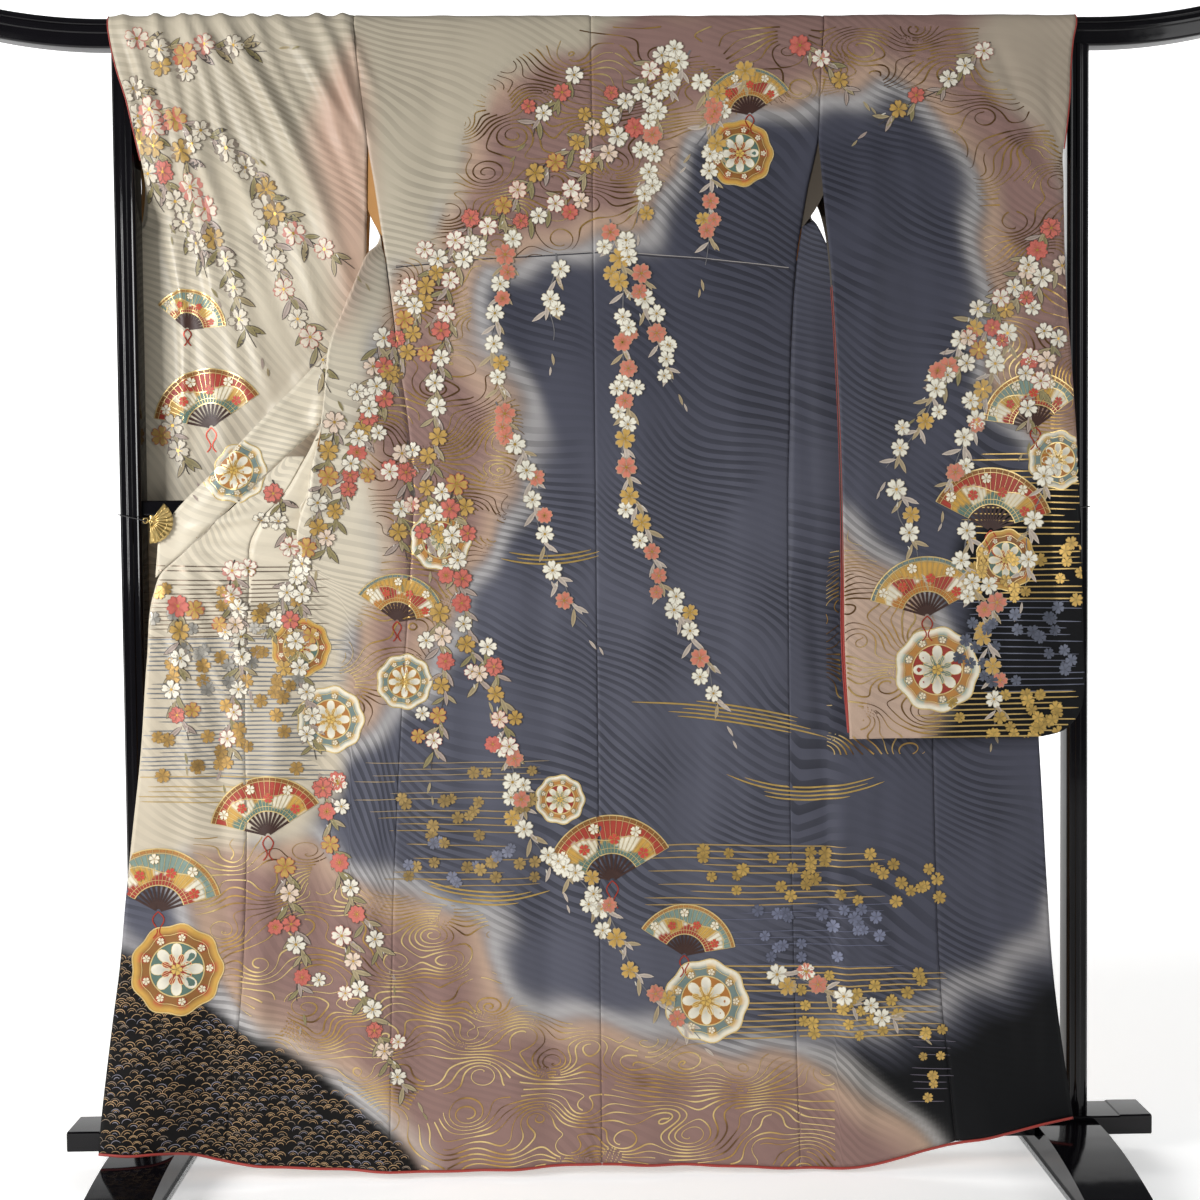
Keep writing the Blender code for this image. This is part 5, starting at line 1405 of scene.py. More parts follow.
def contour_strips(phase, x, z, width):
    """Thin strips where the phase crosses whole numbers. Each grid cell holds at most one straight piece: its
    ends lie on the cell's sides, found by straight-line reading between the corners."""
    rows, columns = phase.shape

    def wrap(value):
        return value - np.round(value)

    def at(a, i, j):
        return a[i:rows - 1 + i, j:columns - 1 + j]

    corners = ((0, 0), (0, 1), (1, 1), (1, 0))
    base = wrap(at(phase, 0, 0))
    value = [base + wrap(at(phase, i, j) - at(phase, 0, 0)) for i, j in corners]
    spot = [join(at(x, i, j), at(z, i, j)) for i, j in corners]
    found, crossed = [], []
    for k in range(4):
        n = (k + 1) % 4
        t = value[k] / (value[k] - value[n] + 1e-12)
        crossed.append((value[k] > 0) != (value[n] > 0))
        found.append(spot[k] + (spot[n] - spot[k]) * t[..., None])
    crossed, found = np.stack(crossed, -1), np.stack(found, -2)
    ok = (crossed.sum(-1) == 2) & (np.max(np.abs(value), axis=0) < 0.60)
    a, b = (np.take_along_axis(found, side[..., None, None], -2)[..., 0, :][ok]
            for side in (crossed.argmax(-1), 3 - crossed[..., ::-1].argmax(-1)))
    # square to the slope, so that neighbouring pieces share their side
    across = join(wrap(at(phase, 0, 1) - at(phase, 0, 0)) / (x[0, 1] - x[0, 0]),
                  wrap(at(phase, 1, 0) - at(phase, 0, 0)) / (z[1, 0] - z[0, 0]))[ok]
    steep = np.linalg.norm(across, axis=1, keepdims=True) + 1e-12
    across /= steep
    along = b - a
    long = np.linalg.norm(along, axis=1, keepdims=True) + 1e-9
    a, b = a - along / long * 0.00025, b + along / long * 0.00025
    # where lines crowd together they are drawn finer, at most 0.4 of their distance wide
    half = np.minimum((width[:-1, :-1][ok] / 2)[:, None], 0.20 / steep)
    points = np.stack([a + across * half, b + across * half, b - across * half, a - across * half], axis=1)
    index = np.arange(len(points) * 4).reshape(-1, 4)
    return points.reshape(-1, 2), two_triangles(index), points.mean(axis=1)


def two_triangles(quads):
    """Each quad as two triangles: all the first ones, then all the second ones."""
    return np.concatenate([quads[:, [0, 1, 2]], quads[:, [0, 2, 3]]])


def waves_noise(x, z, scale, seed):
    """A smooth value from 0 to 1 without a table: the sum of five sines of different slant, rescaled."""
    total = 0
    for k in range(5):
        a = 1.7 * k + seed
        total = total + np.sin(scale * (x * math.cos(a) + z * math.sin(a)) * (1 + 0.31 * k) + 2.1 * a)
    return 0.5 + total / 6.5


# %% Draw the water
CELL = 0.0017
LIGHT_GOLD, OLD_GOLD, BRONZE = linear("#E8CC8C"), linear("#B8924F"), linear("#6B4D2C")


def water_sheet(name, window, depth_of, gap, seed):
    """Water lines in a window of the plane, wherever depth_of says that the mauve field is."""
    low, high = place(window)
    x, z = np.meshgrid(np.arange(low[0], high[0], CELL), np.arange(low[1], high[1], CELL))
    spread = np.random.default_rng(seed)
    cx, cz = np.meshgrid(np.arange(low[0], high[0], 0.092), np.arange(low[1], high[1], 0.053))
    cx[1::2] += 0.046
    count = cx.size
    pools = np.column_stack([cx.ravel() + spread.uniform(-0.022, 0.022, count),
                             cz.ravel() + spread.uniform(-0.013, 0.013, count),
                             spread.uniform(0.014, 0.027, count) * spread.choice([-1, 1], count),
                             spread.uniform(0.017, 0.028, count), spread.choice([-1, 1], count)])
    inside_field = depth_of(x, z)
    width = 0.0010 + 0.0012 * ease(waves_noise(x, z, 58, seed + 3), 0.30, 0.75)
    width = width * (0.45 + 0.55 * ease(inside_field, 0.0, 0.03))
    points, faces, middle = contour_strips(water(x, z, pools, gap), x, z, width)
    cell = ((middle - low) / CELL).astype(int)
    row, column = np.clip(cell[:, 1], 0, x.shape[0] - 1), np.clip(cell[:, 0], 0, x.shape[1] - 1)
    kept = (inside_field[row, column] > 0.002) & (waves_noise(x, z, 34, seed)[row, column] > 0.10)
    # bronze high up, more gold towards the hem; the lightest gold, in random patches, is painted glint on the
    # metal
    shine = waves_noise(middle[:, 0], middle[:, 1], 43, seed + 7) + 0.30 * (1 - ease(middle[:, 1], 0.20, 1.10))
    ink = mix(np.broadcast_to(BRONZE, (len(middle), 3)), OLD_GOLD, ease(shine, 0.30, 0.55))
    ink = mix(ink, LIGHT_GOLD, ease(shine, 0.60, 1.05))
    lines = start_sheet()
    lay(lines, points, faces[np.tile(kept, 2)], np.repeat(ink, 4, axis=0))
    press(name, lines, GOLD, 0.0004)


water_sheet("gold_water_on_body", ((200, 1190), (830, 15)),
            lambda x, z: mauve_depth(x, z, "body") * (field(WAVE_AREA, x, z) < -0.004)
            * (field(CREAM_AREA, x, z) < 0.015), 0.0052, 5)
water_sheet("gold_water_on_right_sleeve", ((828, 755), (1095, 15)),
            lambda x, z: mauve_depth(x, z, "sleeve_right") * (field(RIGHT_CREAM_AREA, x, z) < 0.0)
            * (field(SLEEVE_NIGHT_AREA, x, z) < 0.0), 0.0050, 8)

# %% [markdown]
# ## Waves at the corner
# The black corner is filled with small overlapping waves: each is three nested arcs, a little uneven in place,
# slant and size, as drawn with a brush.

# %% Draw the small waves
BRUSHED = np.array([linear(code) for code in ("#B4936A", "#8E7C6B", "#8A8794")])


def strips(lines, width):
    """Strips along lines (n, m, 2): each point moves half the width to both sides, square to the line."""
    ahead = np.gradient(lines, axis=1)
    beside = join(-ahead[..., 1], ahead[..., 0])
    beside /= np.linalg.norm(beside, axis=-1, keepdims=True) + 1e-12
    half = np.broadcast_to(width, lines.shape[:2])[..., None] / 2
    points = np.stack([lines + beside * half, lines - beside * half], axis=2)
    index = np.arange(points.shape[0] * points.shape[1] * 2).reshape(*points.shape[:3])
    a, b, c, d = index[:, :-1, 0], index[:, 1:, 0], index[:, 1:, 1], index[:, :-1, 1]
    faces = np.concatenate([join(a, d, c).reshape(-1, 3), join(a, c, b).reshape(-1, 3)])
    return points.reshape(-1, 2), faces


def draw(sheet, lines, width, ink, rises=0.0):
    """Lay strips of one ink along lines."""
    lay(sheet, *strips(lines, width), ink, rises)


rng = np.random.default_rng(11)
low, high = place([[90, 1185], [450, 900]])
cx, cz = np.meshgrid(np.arange(low[0], high[0], 0.0150), np.arange(low[1], high[1], 0.0072))
cx[1::2] += 0.0075
cx, cz = cx.ravel() + rng.uniform(-0.002, 0.002, cx.size), cz.ravel() + rng.uniform(-0.0013, 0.0013, cx.size)
kept = (field(WAVE_AREA, cx, cz) > -0.004 + 0.012 * rng.random(cx.size)) & (rng.random(cx.size) > 0.04)
cx, cz = cx[kept], cz[kept]
arc = np.linspace(math.radians(14), math.radians(160), 7)
corner_waves = start_sheet()
for ring, shown in ((0.0074, 0.95), (0.0044, 0.80), (0.0020, 0.20)):
    some = rng.random(cx.size) < shown
    count = int(some.sum())
    size = ring * rng.uniform(0.85, 1.12, (count, 1))
    lean = rng.uniform(-0.35, 0.35, (count, 1))
    lines = join(cx[some][:, None] + size * np.cos(arc + lean) * 0.98,
                 cz[some][:, None] - 0.0035 + size * np.sin(arc + lean) * 0.86)
    taper = 0.0002 + 0.0007 * np.sin(np.linspace(0.25, math.pi - 0.25, 7))
    taper = taper * rng.uniform(0.7, 1.25, (count, 1))
    inks = BRUSHED[np.searchsorted((0.62, 0.85), rng.random(count), side="right")]
    draw(corner_waves, lines, taper, np.repeat(inks, 2 * len(arc), axis=0))
press("gold_waves_on_corner", corner_waves, PAINT, 0.0004)

# %% [markdown]
# ## Mist
# Bands of mist drift across the skirt and the right sleeve. Each is a stack of level lines with pointed ends,
# in gold or grey, strewn with small blossoms.

# %% Mist bands
# left, right, top, bottom in photo pixels | gap between lines in pixels | thickness in mm | ink | share shown
MIST = ((952, 1084, 455, 600, 6.0, 1.9, "#C8A766", 0.97), (946, 1086, 602, 692, 6.2, 1.3, "#6D7080", 0.95),
        (905, 1080, 690, 737, 5.6, 2.0, "#C9A968", 0.97), (128, 330, 566, 640, 4.5, 1.7, "#857666", 0.97),
        (124, 350, 640, 782, 4.5, 1.9, "#8A8C8F", 0.97), (128, 310, 778, 806, 5.0, 1.4, "#C2A468", 0.9),
        (350, 560, 756, 815, 6.2, 1.3, "#B59F7C", 0.85), (375, 545, 812, 888, 6.6, 1.5, "#B79A63", 0.9),
        (640, 890, 846, 905, 6.4, 1.8, "#BFA066", 0.9), (700, 905, 905, 968, 6.6, 1.0, "#71748A", 0.85),
        (690, 948, 966, 1040, 5.8, 2.0, "#C4A365", 0.95), (905, 955, 1040, 1110, 6.6, 1.0, "#6A6470", 0.8))
# left, middle and right end of a bowed streak in photo pixels | lines in it
STREAKS = (((618, 708), (732, 716), (834, 738), 5), ((706, 768), (800, 796), (900, 776), 4),
           ((414, 884), (486, 900), (560, 888), 4), ((486, 552), (544, 562), (604, 552), 3))


def mist_lines(left, right, top, bottom, gap, thick, shown, spread):
    """Level lines of one band, each between wandering ends and pointed at both. Gives lines and widths."""
    rows = np.arange(top, bottom, gap)
    rows = rows[spread.random(len(rows)) < shown][:, None]
    wide = right - left
    long = 0.60 + 0.40 * spread.random(rows.shape)
    middle = (left + right) / 2 + (spread.random(rows.shape) - 0.5) * wide * (1 - long)
    t = np.linspace(-0.5, 0.5, 64)
    px = middle + t * (wide * long)
    bend = 1.2 * np.sin(px * 0.018 + rows * 0.05)
    return place(join(px, rows + bend)), thick / 1000 * np.sqrt(np.clip(1 - (2 * np.abs(t)) ** 6, 0.02, 1))


def streak(left, middle, right, count, spread):
    """Gold lines beside one bowed line, P(s) = L (1 - s)(1 - 2s) + M 4s (1 - s) + R s (2s - 1), 4 pixels apart.

    Each line starts and stops at its own s and is pointed at both ends.
    """
    left, middle, right = np.array((left, middle, right))
    t = np.linspace(0, 1, 48)
    start, stop = 0.34 * spread.random((count, 1)), 1 - 0.34 * spread.random((count, 1))
    s = (start + t * (stop - start))[..., None]
    path = left * (1 - s) * (1 - 2 * s) + middle * 4 * s * (1 - s) + right * s * (2 * s - 1)
    path[..., 1] += 4.1 * (np.arange(count)[:, None] - count / 2)
    return place(path), 0.0024 * np.sqrt(np.clip(1 - (2 * t - 1) ** 4, 0.02, 1))


spread = np.random.default_rng(4)
mist = start_sheet()
for *band, code, shown in MIST:
    draw(mist, *mist_lines(*band, shown, spread), linear(code))
for row in STREAKS:
    draw(mist, *streak(*row, spread), linear("#C9A75E"))
press("gold_mist", mist, GOLD, 0.0004)

# %% [markdown]
# ## Blossoms
# Trails of weeping cherry hang over everything. Each of a flower's five petals is a fan of triangles round its
# own middle: narrow at the heart, widest three quarters of the way out and notched at the tip. A slightly
# larger petal in a darker colour lies below it and shows as the line that the painter drew round it.

# %% One flower, and many
# along the petal | half width | how light, all as shares
PETAL = ((0.1, 0.05, 0.7), (0.36, 0.2, 0.84), (0.62, 0.34, 0.95), (0.84, 0.34, 1.0), (0.985, 0.18, 1.0),
         (0.87, 0.0, 0.9))
# a leaf's triangles: points 0 to 5 are its upper edge, 6 to 9 its lower edge, 10 to 13 its midrib
LEAF_FACES = np.array([(0, 10, 1), (1, 10, 11), (1, 11, 2), (2, 11, 12), (2, 12, 3), (3, 12, 13), (3, 13, 4),
                       (4, 13, 5), (0, 6, 10), (6, 11, 10), (6, 7, 11), (7, 12, 11), (7, 8, 12), (8, 13, 12),
                       (8, 9, 13), (9, 5, 13)])


def polar(angle, out=1.0, beside=0.0):
    """Points so far out along an angle and so far beside it."""
    return join(out * np.cos(angle) - beside * np.sin(angle), out * np.sin(angle) + beside * np.cos(angle))


def copies(faces, count, points):
    """The same faces for count shapes of so many points each."""
    return (faces + (np.arange(count) * points)[:, None, None]).reshape(-1, 3)


def pie(count, rims):
    """Triangles of shapes that are each a middle point followed by its rim: the middle, a point, the next."""
    step = np.arange(rims)
    return copies(join(0, 1 + step, 1 + (step + 1) % rims), count, rims + 1)


def stacked(count):
    """Heights that keep flowers that overlap apart: six steps of 0.16 mm, in turn."""
    return 0.00016 * (np.arange(count) * 5 % 6)


def flowers(sheet, centres, sizes, turns, inks, edge):
    """Lay many flowers: point = heart + size * (along, half width), turned by the flower's turn + k / 5."""
    rows = np.array(PETAL)
    middle = np.array([[0.55, 0.0]])
    shape = np.concatenate([middle, rows[:, :2], (rows[:-1, :2] * [1, -1])[::-1]])
    shade = np.concatenate([[0.96], rows[:, 2], rows[:-1, 2][::-1]])
    count = len(centres)
    spin = (turns[:, None] + np.arange(5) * 2 * math.pi / 5)[..., None]
    for target, grow, tones, light in (("outline", 1.17, edge, np.ones(12)), ("petals", 1.0, inks, shade)):
        petals = polar(spin, *((shape - middle) * grow + middle).T)
        points = centres[:, None, None] + petals * sizes[:, None, None, None]
        colours = np.broadcast_to(tones[:, None, None] * light[:, None], (count, 5, 12, 3))
        lay(sheet[target], points.reshape(-1, 2), pie(5 * count, 11)[:, [0, 2, 1]], colours.reshape(-1, 3),
            np.repeat(stacked(count), 5 * 12))


def hearts(sheet, centres, sizes, turns, ink):
    """A small boss of gold with five stamens round each flower's heart."""
    count = len(centres)
    rim = polar(np.arange(8) * math.pi / 4) * (0.15 * sizes)[:, None, None]
    points = np.concatenate([centres[:, None], centres[:, None] + rim], axis=1)
    lay(sheet, points.reshape(-1, 2), pie(count, 8), ink, np.repeat(stacked(count), 1 + 8))
    spoke = (turns[:, None] + np.arange(5) * 2 * math.pi / 5)[..., None]
    lines = centres[:, None, None] + polar(spoke, np.array([0.16, 0.30, 0.44])) * sizes[:, None, None, None]
    draw(sheet, lines.reshape(-1, 3, 2), np.array([0.0004, 0.0004, 0.0010]), ink,
         np.repeat(stacked(count), 5 * 3 * 2))


def leaves(sheet, roots, turns, sizes, inks, broad=0.120):
    """Slender leaves: ten points round an almond, half width broad * sin(pi t) to the 0.8, a darker midrib."""
    t = np.linspace(0, 1, 6)
    wide = broad * np.sin(math.pi * t) ** 0.8
    out = np.concatenate([t, t[1:-1], t[1:-1]])
    beside = np.concatenate([wide, -wide[1:-1], 0 * t[1:-1]]) + 0.10 * out * (1 - out)
    points = roots[:, None] + polar(turns[:, None], out, beside) * sizes[:, None, None]
    shade = np.repeat([1.0, 0.88, 0.62], [6, 4, 4])[:, None]
    faces = copies(LEAF_FACES, len(roots), 14)
    lay(sheet, points.reshape(-1, 2), faces, (inks[:, None] * shade).reshape(-1, 3))


# %% [markdown]
# ## Trails
# Each trail is a bowed line from its upper to its lower end. Blossoms sit along it every 3 cm or so, singly or
# in twos and threes, turned at random, with a pair of leaves below each and buds between, and a few loose
# slivers of leaf past its end. On the pale silk the flowers are drawn with a fine outline.

# %% Where the trails hang
# from and to in photo pixels | bow to the right in pixels | fullness | kind: p on pale silk, d on dark silk,
# o only outlined
TRAILS = ((118, 34, 262, 40, 4, 1.0, "o"), (150, 420, 176, 470, 2, 0.5, "o"),
          (232, 560, 246, 680, 6, 0.9, "p"), (268, 480, 300, 600, -6, 0.7, "p"),
          (410, 440, 404, 560, 6, 0.8, "p"), (118, 78, 232, 142, 6, 0.7, "o"),
          (216, 132, 346, 262, 10, 0.2, "o"), (176, 140, 246, 340, 6, 0.3, "o"),
          (250, 192, 334, 392, 8, 0.2, "o"), (136, 112, 196, 268, 4, 0.5, "o"),
          (126, 104, 150, 200, 4, 0.4, "o"), (668, 40, 560, 150, -8, 1.4, "p"),
          (640, 110, 500, 232, -10, 1.3, "p"), (585, 62, 532, 130, 5, 1.0, "p"),
          (560, 150, 442, 300, 12, 1.2, "p"), (470, 210, 382, 420, 14, 1.0, "p"),
          (420, 290, 345, 500, 8, 1.0, "p"), (380, 330, 318, 560, -8, 0.9, "p"),
          (340, 420, 262, 640, -10, 0.9, "p"), (452, 300, 430, 560, 10, 0.9, "p"),
          (505, 245, 500, 400, 8, 1.0, "d"), (498, 400, 545, 560, -8, 0.9, "d"),
          (548, 560, 585, 628, 0, 0.5, "d"), (556, 250, 552, 338, 4, 0.8, "d"),
          (612, 215, 625, 430, -6, 1.1, "d"), (622, 430, 672, 600, 8, 1.0, "d"),
          (672, 600, 722, 716, -5, 0.9, "d"), (640, 262, 676, 380, 8, 0.8, "d"),
          (706, 60, 704, 262, -10, 0.9, "d"), (690, 40, 640, 220, 10, 1.0, "d"),
          (452, 480, 486, 690, 12, 1.2, "p"), (480, 640, 508, 770, -8, 1.2, "p"),
          (505, 740, 560, 880, 10, 1.1, "d"), (440, 600, 432, 770, -6, 0.8, "p"),
          (300, 560, 318, 760, 12, 0.9, "p"), (235, 600, 222, 760, -8, 0.8, "p"),
          (178, 600, 186, 740, 6, 0.6, "p"), (318, 780, 384, 960, 10, 0.9, "p"),
          (282, 860, 300, 1000, -5, 0.7, "p"), (346, 930, 414, 1092, 12, 1.0, "p"),
          (560, 860, 604, 930, -5, 1.0, "d"), (600, 900, 700, 1040, 12, 0.8, "d"),
          (770, 972, 905, 1030, -6, 0.8, "d"), (752, 60, 700, 140, 6, 0.9, "d"),
          (806, 30, 860, 84, 4, 0.8, "p"), (1000, 34, 882, 118, -6, 0.9, "p"),
          (1050, 226, 962, 330, -6, 1.2, "p"), (1060, 262, 930, 400, 8, 1.1, "p"),
          (960, 330, 884, 470, -6, 1.0, "d"), (1012, 330, 944, 500, 8, 1.0, "d"),
          (1056, 330, 1026, 432, 5, 1.0, "p"), (1040, 470, 1018, 590, 4, 0.6, "d"),
          (960, 520, 985, 640, 8, 0.8, "d"), (985, 590, 992, 722, 4, 0.8, "d"),
          (890, 480, 915, 560, 4, 0.6, "d"))
FLOWER_INKS = {"p": (("#E9E2D0", 0.46), ("#C96A5C", 0.20), ("#BE9850", 0.22), ("#E4CDB8", 0.12)),
               "o": (("#D6CCB8", 0.78), ("#C2695C", 0.08), ("#B59352", 0.14)),
               "d": (("#EDE8D6", 0.56), ("#D07C66", 0.26), ("#C9A154", 0.18))}
PALE_LEAVES = (("#B3A27C", 0.4), ("#B5A296", 0.25), ("#9A8E62", 0.35))
DARK_LEAVES = (("#D0C1B2", 0.6), ("#BDA985", 0.4))


def pick(choices, count, spread):
    """Draw colours by their shares."""
    codes = np.array([linear(code) for code, _ in choices])
    shares = np.array([share for _, share in choices])
    return codes[spread.choice(len(codes), count, p=shares / shares.sum())]


def trail(ax, ay, bx, by, bow, full, kind, spread, sheets):
    """One trail: its stem, and then its blossoms, leaves, buds and loose slivers, strewn in this order."""
    start, end = place([[ax, ay], [bx, by]])
    whole = end - start
    run = math.hypot(*whole)
    ahead = whole / run
    sideways = np.array([-ahead[1], ahead[0]])
    t = np.linspace(0, 1, max(6, int(run / 0.003)))
    bend = bow * PIXEL * np.sin(math.pi * t) + 0.004 * np.sin(9 * t + ax)
    line = start + np.outer(t, whole) - bend[:, None] * sideways
    pale, outlined = kind != "d", kind == "o"
    stem = linear("#443C36" if pale else "#6E6C6E")
    draw(sheets["stems"], line[None], np.linspace(0.0021, 0.0010, len(t)), stem)
    count = max(2, int(run / (0.0330 if pale else 0.0400) * (0.75 + 0.25 * full)))
    at = (np.arange(count) + 0.3 + spread.uniform(-0.18, 0.18, count)) / (count + (0.7 if outlined else 0.25))
    along = join(np.interp(at, t, line[:, 0]), np.interp(at, t, line[:, 1]))
    base = math.atan2(ahead[1], ahead[0])
    taper = (1.15 if outlined else 0.97) - 0.18 * at
    centres = along + spread.uniform(-0.007, 0.007, (count, 1)) * sideways
    sizes = spread.uniform(0.0136, 0.0160, count) * taper
    groups, more = [centres], [sizes]
    beside, below = (0.022, 0.001) if pale else (0.010, 0.020)
    for chance in ((0.30, 0.10) if pale else (0.75, 0.30)):
        chosen = spread.random(count) < chance * full
        over = spread.choice([-1, 1], (count, 1)) * sideways * beside
        down = spread.choice([1, -1], (count, 1)) * below + spread.uniform(-0.008, 0.008, (count, 1))
        groups.append((centres + (over + ahead * down))[chosen])
        more.append(sizes[chosen] * 0.88)
    centres, sizes = np.concatenate(groups), np.concatenate(more)
    order = spread.permutation(len(centres))
    centres, sizes = centres[order], sizes[order]
    inks = pick(FLOWER_INKS[kind], len(centres), spread)
    red_ruled = (spread.random((len(inks), 1)) < 0.22) & pale
    ruled = np.where(red_ruled, linear("#B4544A"), linear("#5A493C" if pale else "#A8997E"))
    edge = ruled * 0.8 + inks * 0.2
    turns = spread.uniform(0, 6.28, len(centres))
    sheets["flowers"].append((centres, sizes, turns, inks, edge))
    # the coral flowers are double: a second ring of petals lies between the first
    coral = inks[:, 1] < 0.45 * inks[:, 0]
    double = (centres[coral], sizes[coral] * 0.86, turns[coral] + math.pi / 5, inks[coral], edge[coral])
    sheets["flowers"].append(double)
    # a pair of leaves below each blossom on the trail, hanging down it
    pairs = np.repeat(along, 3, axis=0) + ahead * 0.012
    pairs = pairs + np.tile([[0.0], [0.004], [-0.006]], (count, 1)) * ahead
    lean = np.tile([0.75, -0.75, 0.20], count) + spread.uniform(-0.25, 0.25, 3 * count)
    long = spread.uniform(0.021, 0.029, 3 * count) * (1.12 if outlined else 1.0)
    tones = pick(PALE_LEAVES if pale else DARK_LEAVES, 3 * count, spread)
    if pale:
        leaves(sheets["stems"], pairs, base + lean, long * 1.04, tones * 0 + stem * 1.6, 0.155)
    leaves(sheets["leaves"], pairs, base + lean, long, tones)
    # buds: small pale drops beside the trail
    some = spread.random(count) < 0.7
    buds = int(some.sum())
    spots = along[some] + ahead * 0.017 + spread.choice([-1, 1], (buds, 1)) * sideways * 0.007
    leaves(sheets["leaves"], spots, base + spread.uniform(-0.5, 0.5, buds), np.full(buds, 0.0075),
           np.broadcast_to(linear("#EFE9DA"), (buds, 3)))
    # loose slivers past the end
    loose = end + ahead * np.array([[0.016], [0.034]]) + spread.uniform(-0.004, 0.004, (2, 2))
    leaves(sheets["leaves"], loose, base + spread.uniform(-0.3, 0.3, 2), np.array([0.017, 0.013]), tones[:2])


spread = np.random.default_rng(21)
sheets = {name: start_sheet() for name in ("stems", "leaves", "outline", "petals", "hearts")}
sheets["flowers"] = []
for row in TRAILS:
    trail(*row, spread, sheets)
centres, sizes, turns, inks, edge = map(np.concatenate, zip(*sheets["flowers"]))
flowers(sheets, centres, sizes, turns, inks, edge)
hearts(sheets["hearts"], centres, sizes, turns, linear("#C9A04B"))
print("flowers:", len(centres))

# small gold and grey blossoms strewn over the mist: left, right, top, bottom | how many | size in mm | ink
STREWN = ((960, 1080, 540, 600, 22, 8.5, "#C8A45A"), (952, 1080, 606, 690, 26, 8.5, "#666A78"),
          (925, 1070, 690, 735, 22, 8.5, "#CDA95C"), (150, 300, 570, 780, 46, 9.5, "#C0995A"),
          (150, 300, 600, 700, 16, 9.0, "#A9A49A"), (400, 540, 770, 885, 30, 8.5, "#B99B63"),
          (790, 940, 850, 902, 24, 8.5, "#C6A35B"), (750, 900, 908, 962, 22, 8.5, "#7E8298"),
          (800, 945, 968, 1035, 24, 8.5, "#CBA85C"), (700, 800, 850, 900, 9, 8.5, "#C6A35B"),
          (905, 950, 1045, 1100, 6, 7.0, "#C6A35B"), (400, 520, 830, 885, 10, 8.0, "#8D8FA0"))
small = {"outline": start_sheet(), "petals": start_sheet()}
for left, right, top, bottom, count, size, code in STREWN:
    at = place(np.column_stack([spread.uniform(left, right, count), spread.uniform(top, bottom, count)]))
    ink = np.broadcast_to(linear(code), (count, 3)) * spread.uniform(0.8, 1.25, (count, 1))
    sizes = spread.uniform(0.85, 1.1, count) * size / 1000
    flowers(small, at, sizes, spread.uniform(0, 6.28, count), ink, ink * 0.55)

# %% [markdown]
# ## Fans and medallions
# Between the trails lie open folding fans and round flower medallions in brocade colours: gold, red, green and
# cream. A fan's leaf is a grid of radius and angle, coloured fold by fold and band by band, over bare sticks.
# A medallion is rings about a centre: a border, a wreath of petals and a rosette.

# %% Brocade motifs
# kind | centre in photo pixels | size in mm | turned by degrees | colour scheme
MOTIFS = (("fan", 196, 392, 84, 12, 0), ("round", 232, 470, 44, 0, 1), ("fan", 172, 300, 56, -18, 2),
          ("round", 300, 648, 40, 0, 0), ("fan", 396, 598, 66, -14, 1), ("round", 440, 540, 42, 0, 2),
          ("fan", 268, 806, 82, 10, 0), ("round", 330, 720, 46, 0, 1), ("fan", 158, 880, 88, -8, 2),
          ("round", 178, 968, 62, 0, 0), ("round", 404, 682, 38, 0, 1), ("fan", 612, 848, 92, 8, 0),
          ("round", 560, 800, 34, 0, 2), ("round", 706, 1000, 58, 0, 1), ("fan", 684, 930, 72, -12, 2),
          ("fan", 752, 84, 66, 10, 1), ("round", 742, 148, 46, 0, 0), ("fan", 1030, 402, 74, 14, 2),
          ("round", 1052, 461, 40, 0, 1), ("fan", 985, 500, 86, -6, 0), ("fan", 922, 586, 82, 6, 1),
          ("round", 932, 668, 58, 0, 2), ("round", 1000, 560, 42, 0, 0))
SCHEMES = (("#A83A2A", "#C79A46", "#E6DCC2", "#5F7A6E", "#8A5A25"),
           ("#C89A48", "#E8DFC8", "#A43C30", "#B9772F", "#6E7F7A"),
           ("#7C9186", "#E9E1CB", "#C79C48", "#A33628", "#B07A3A"))


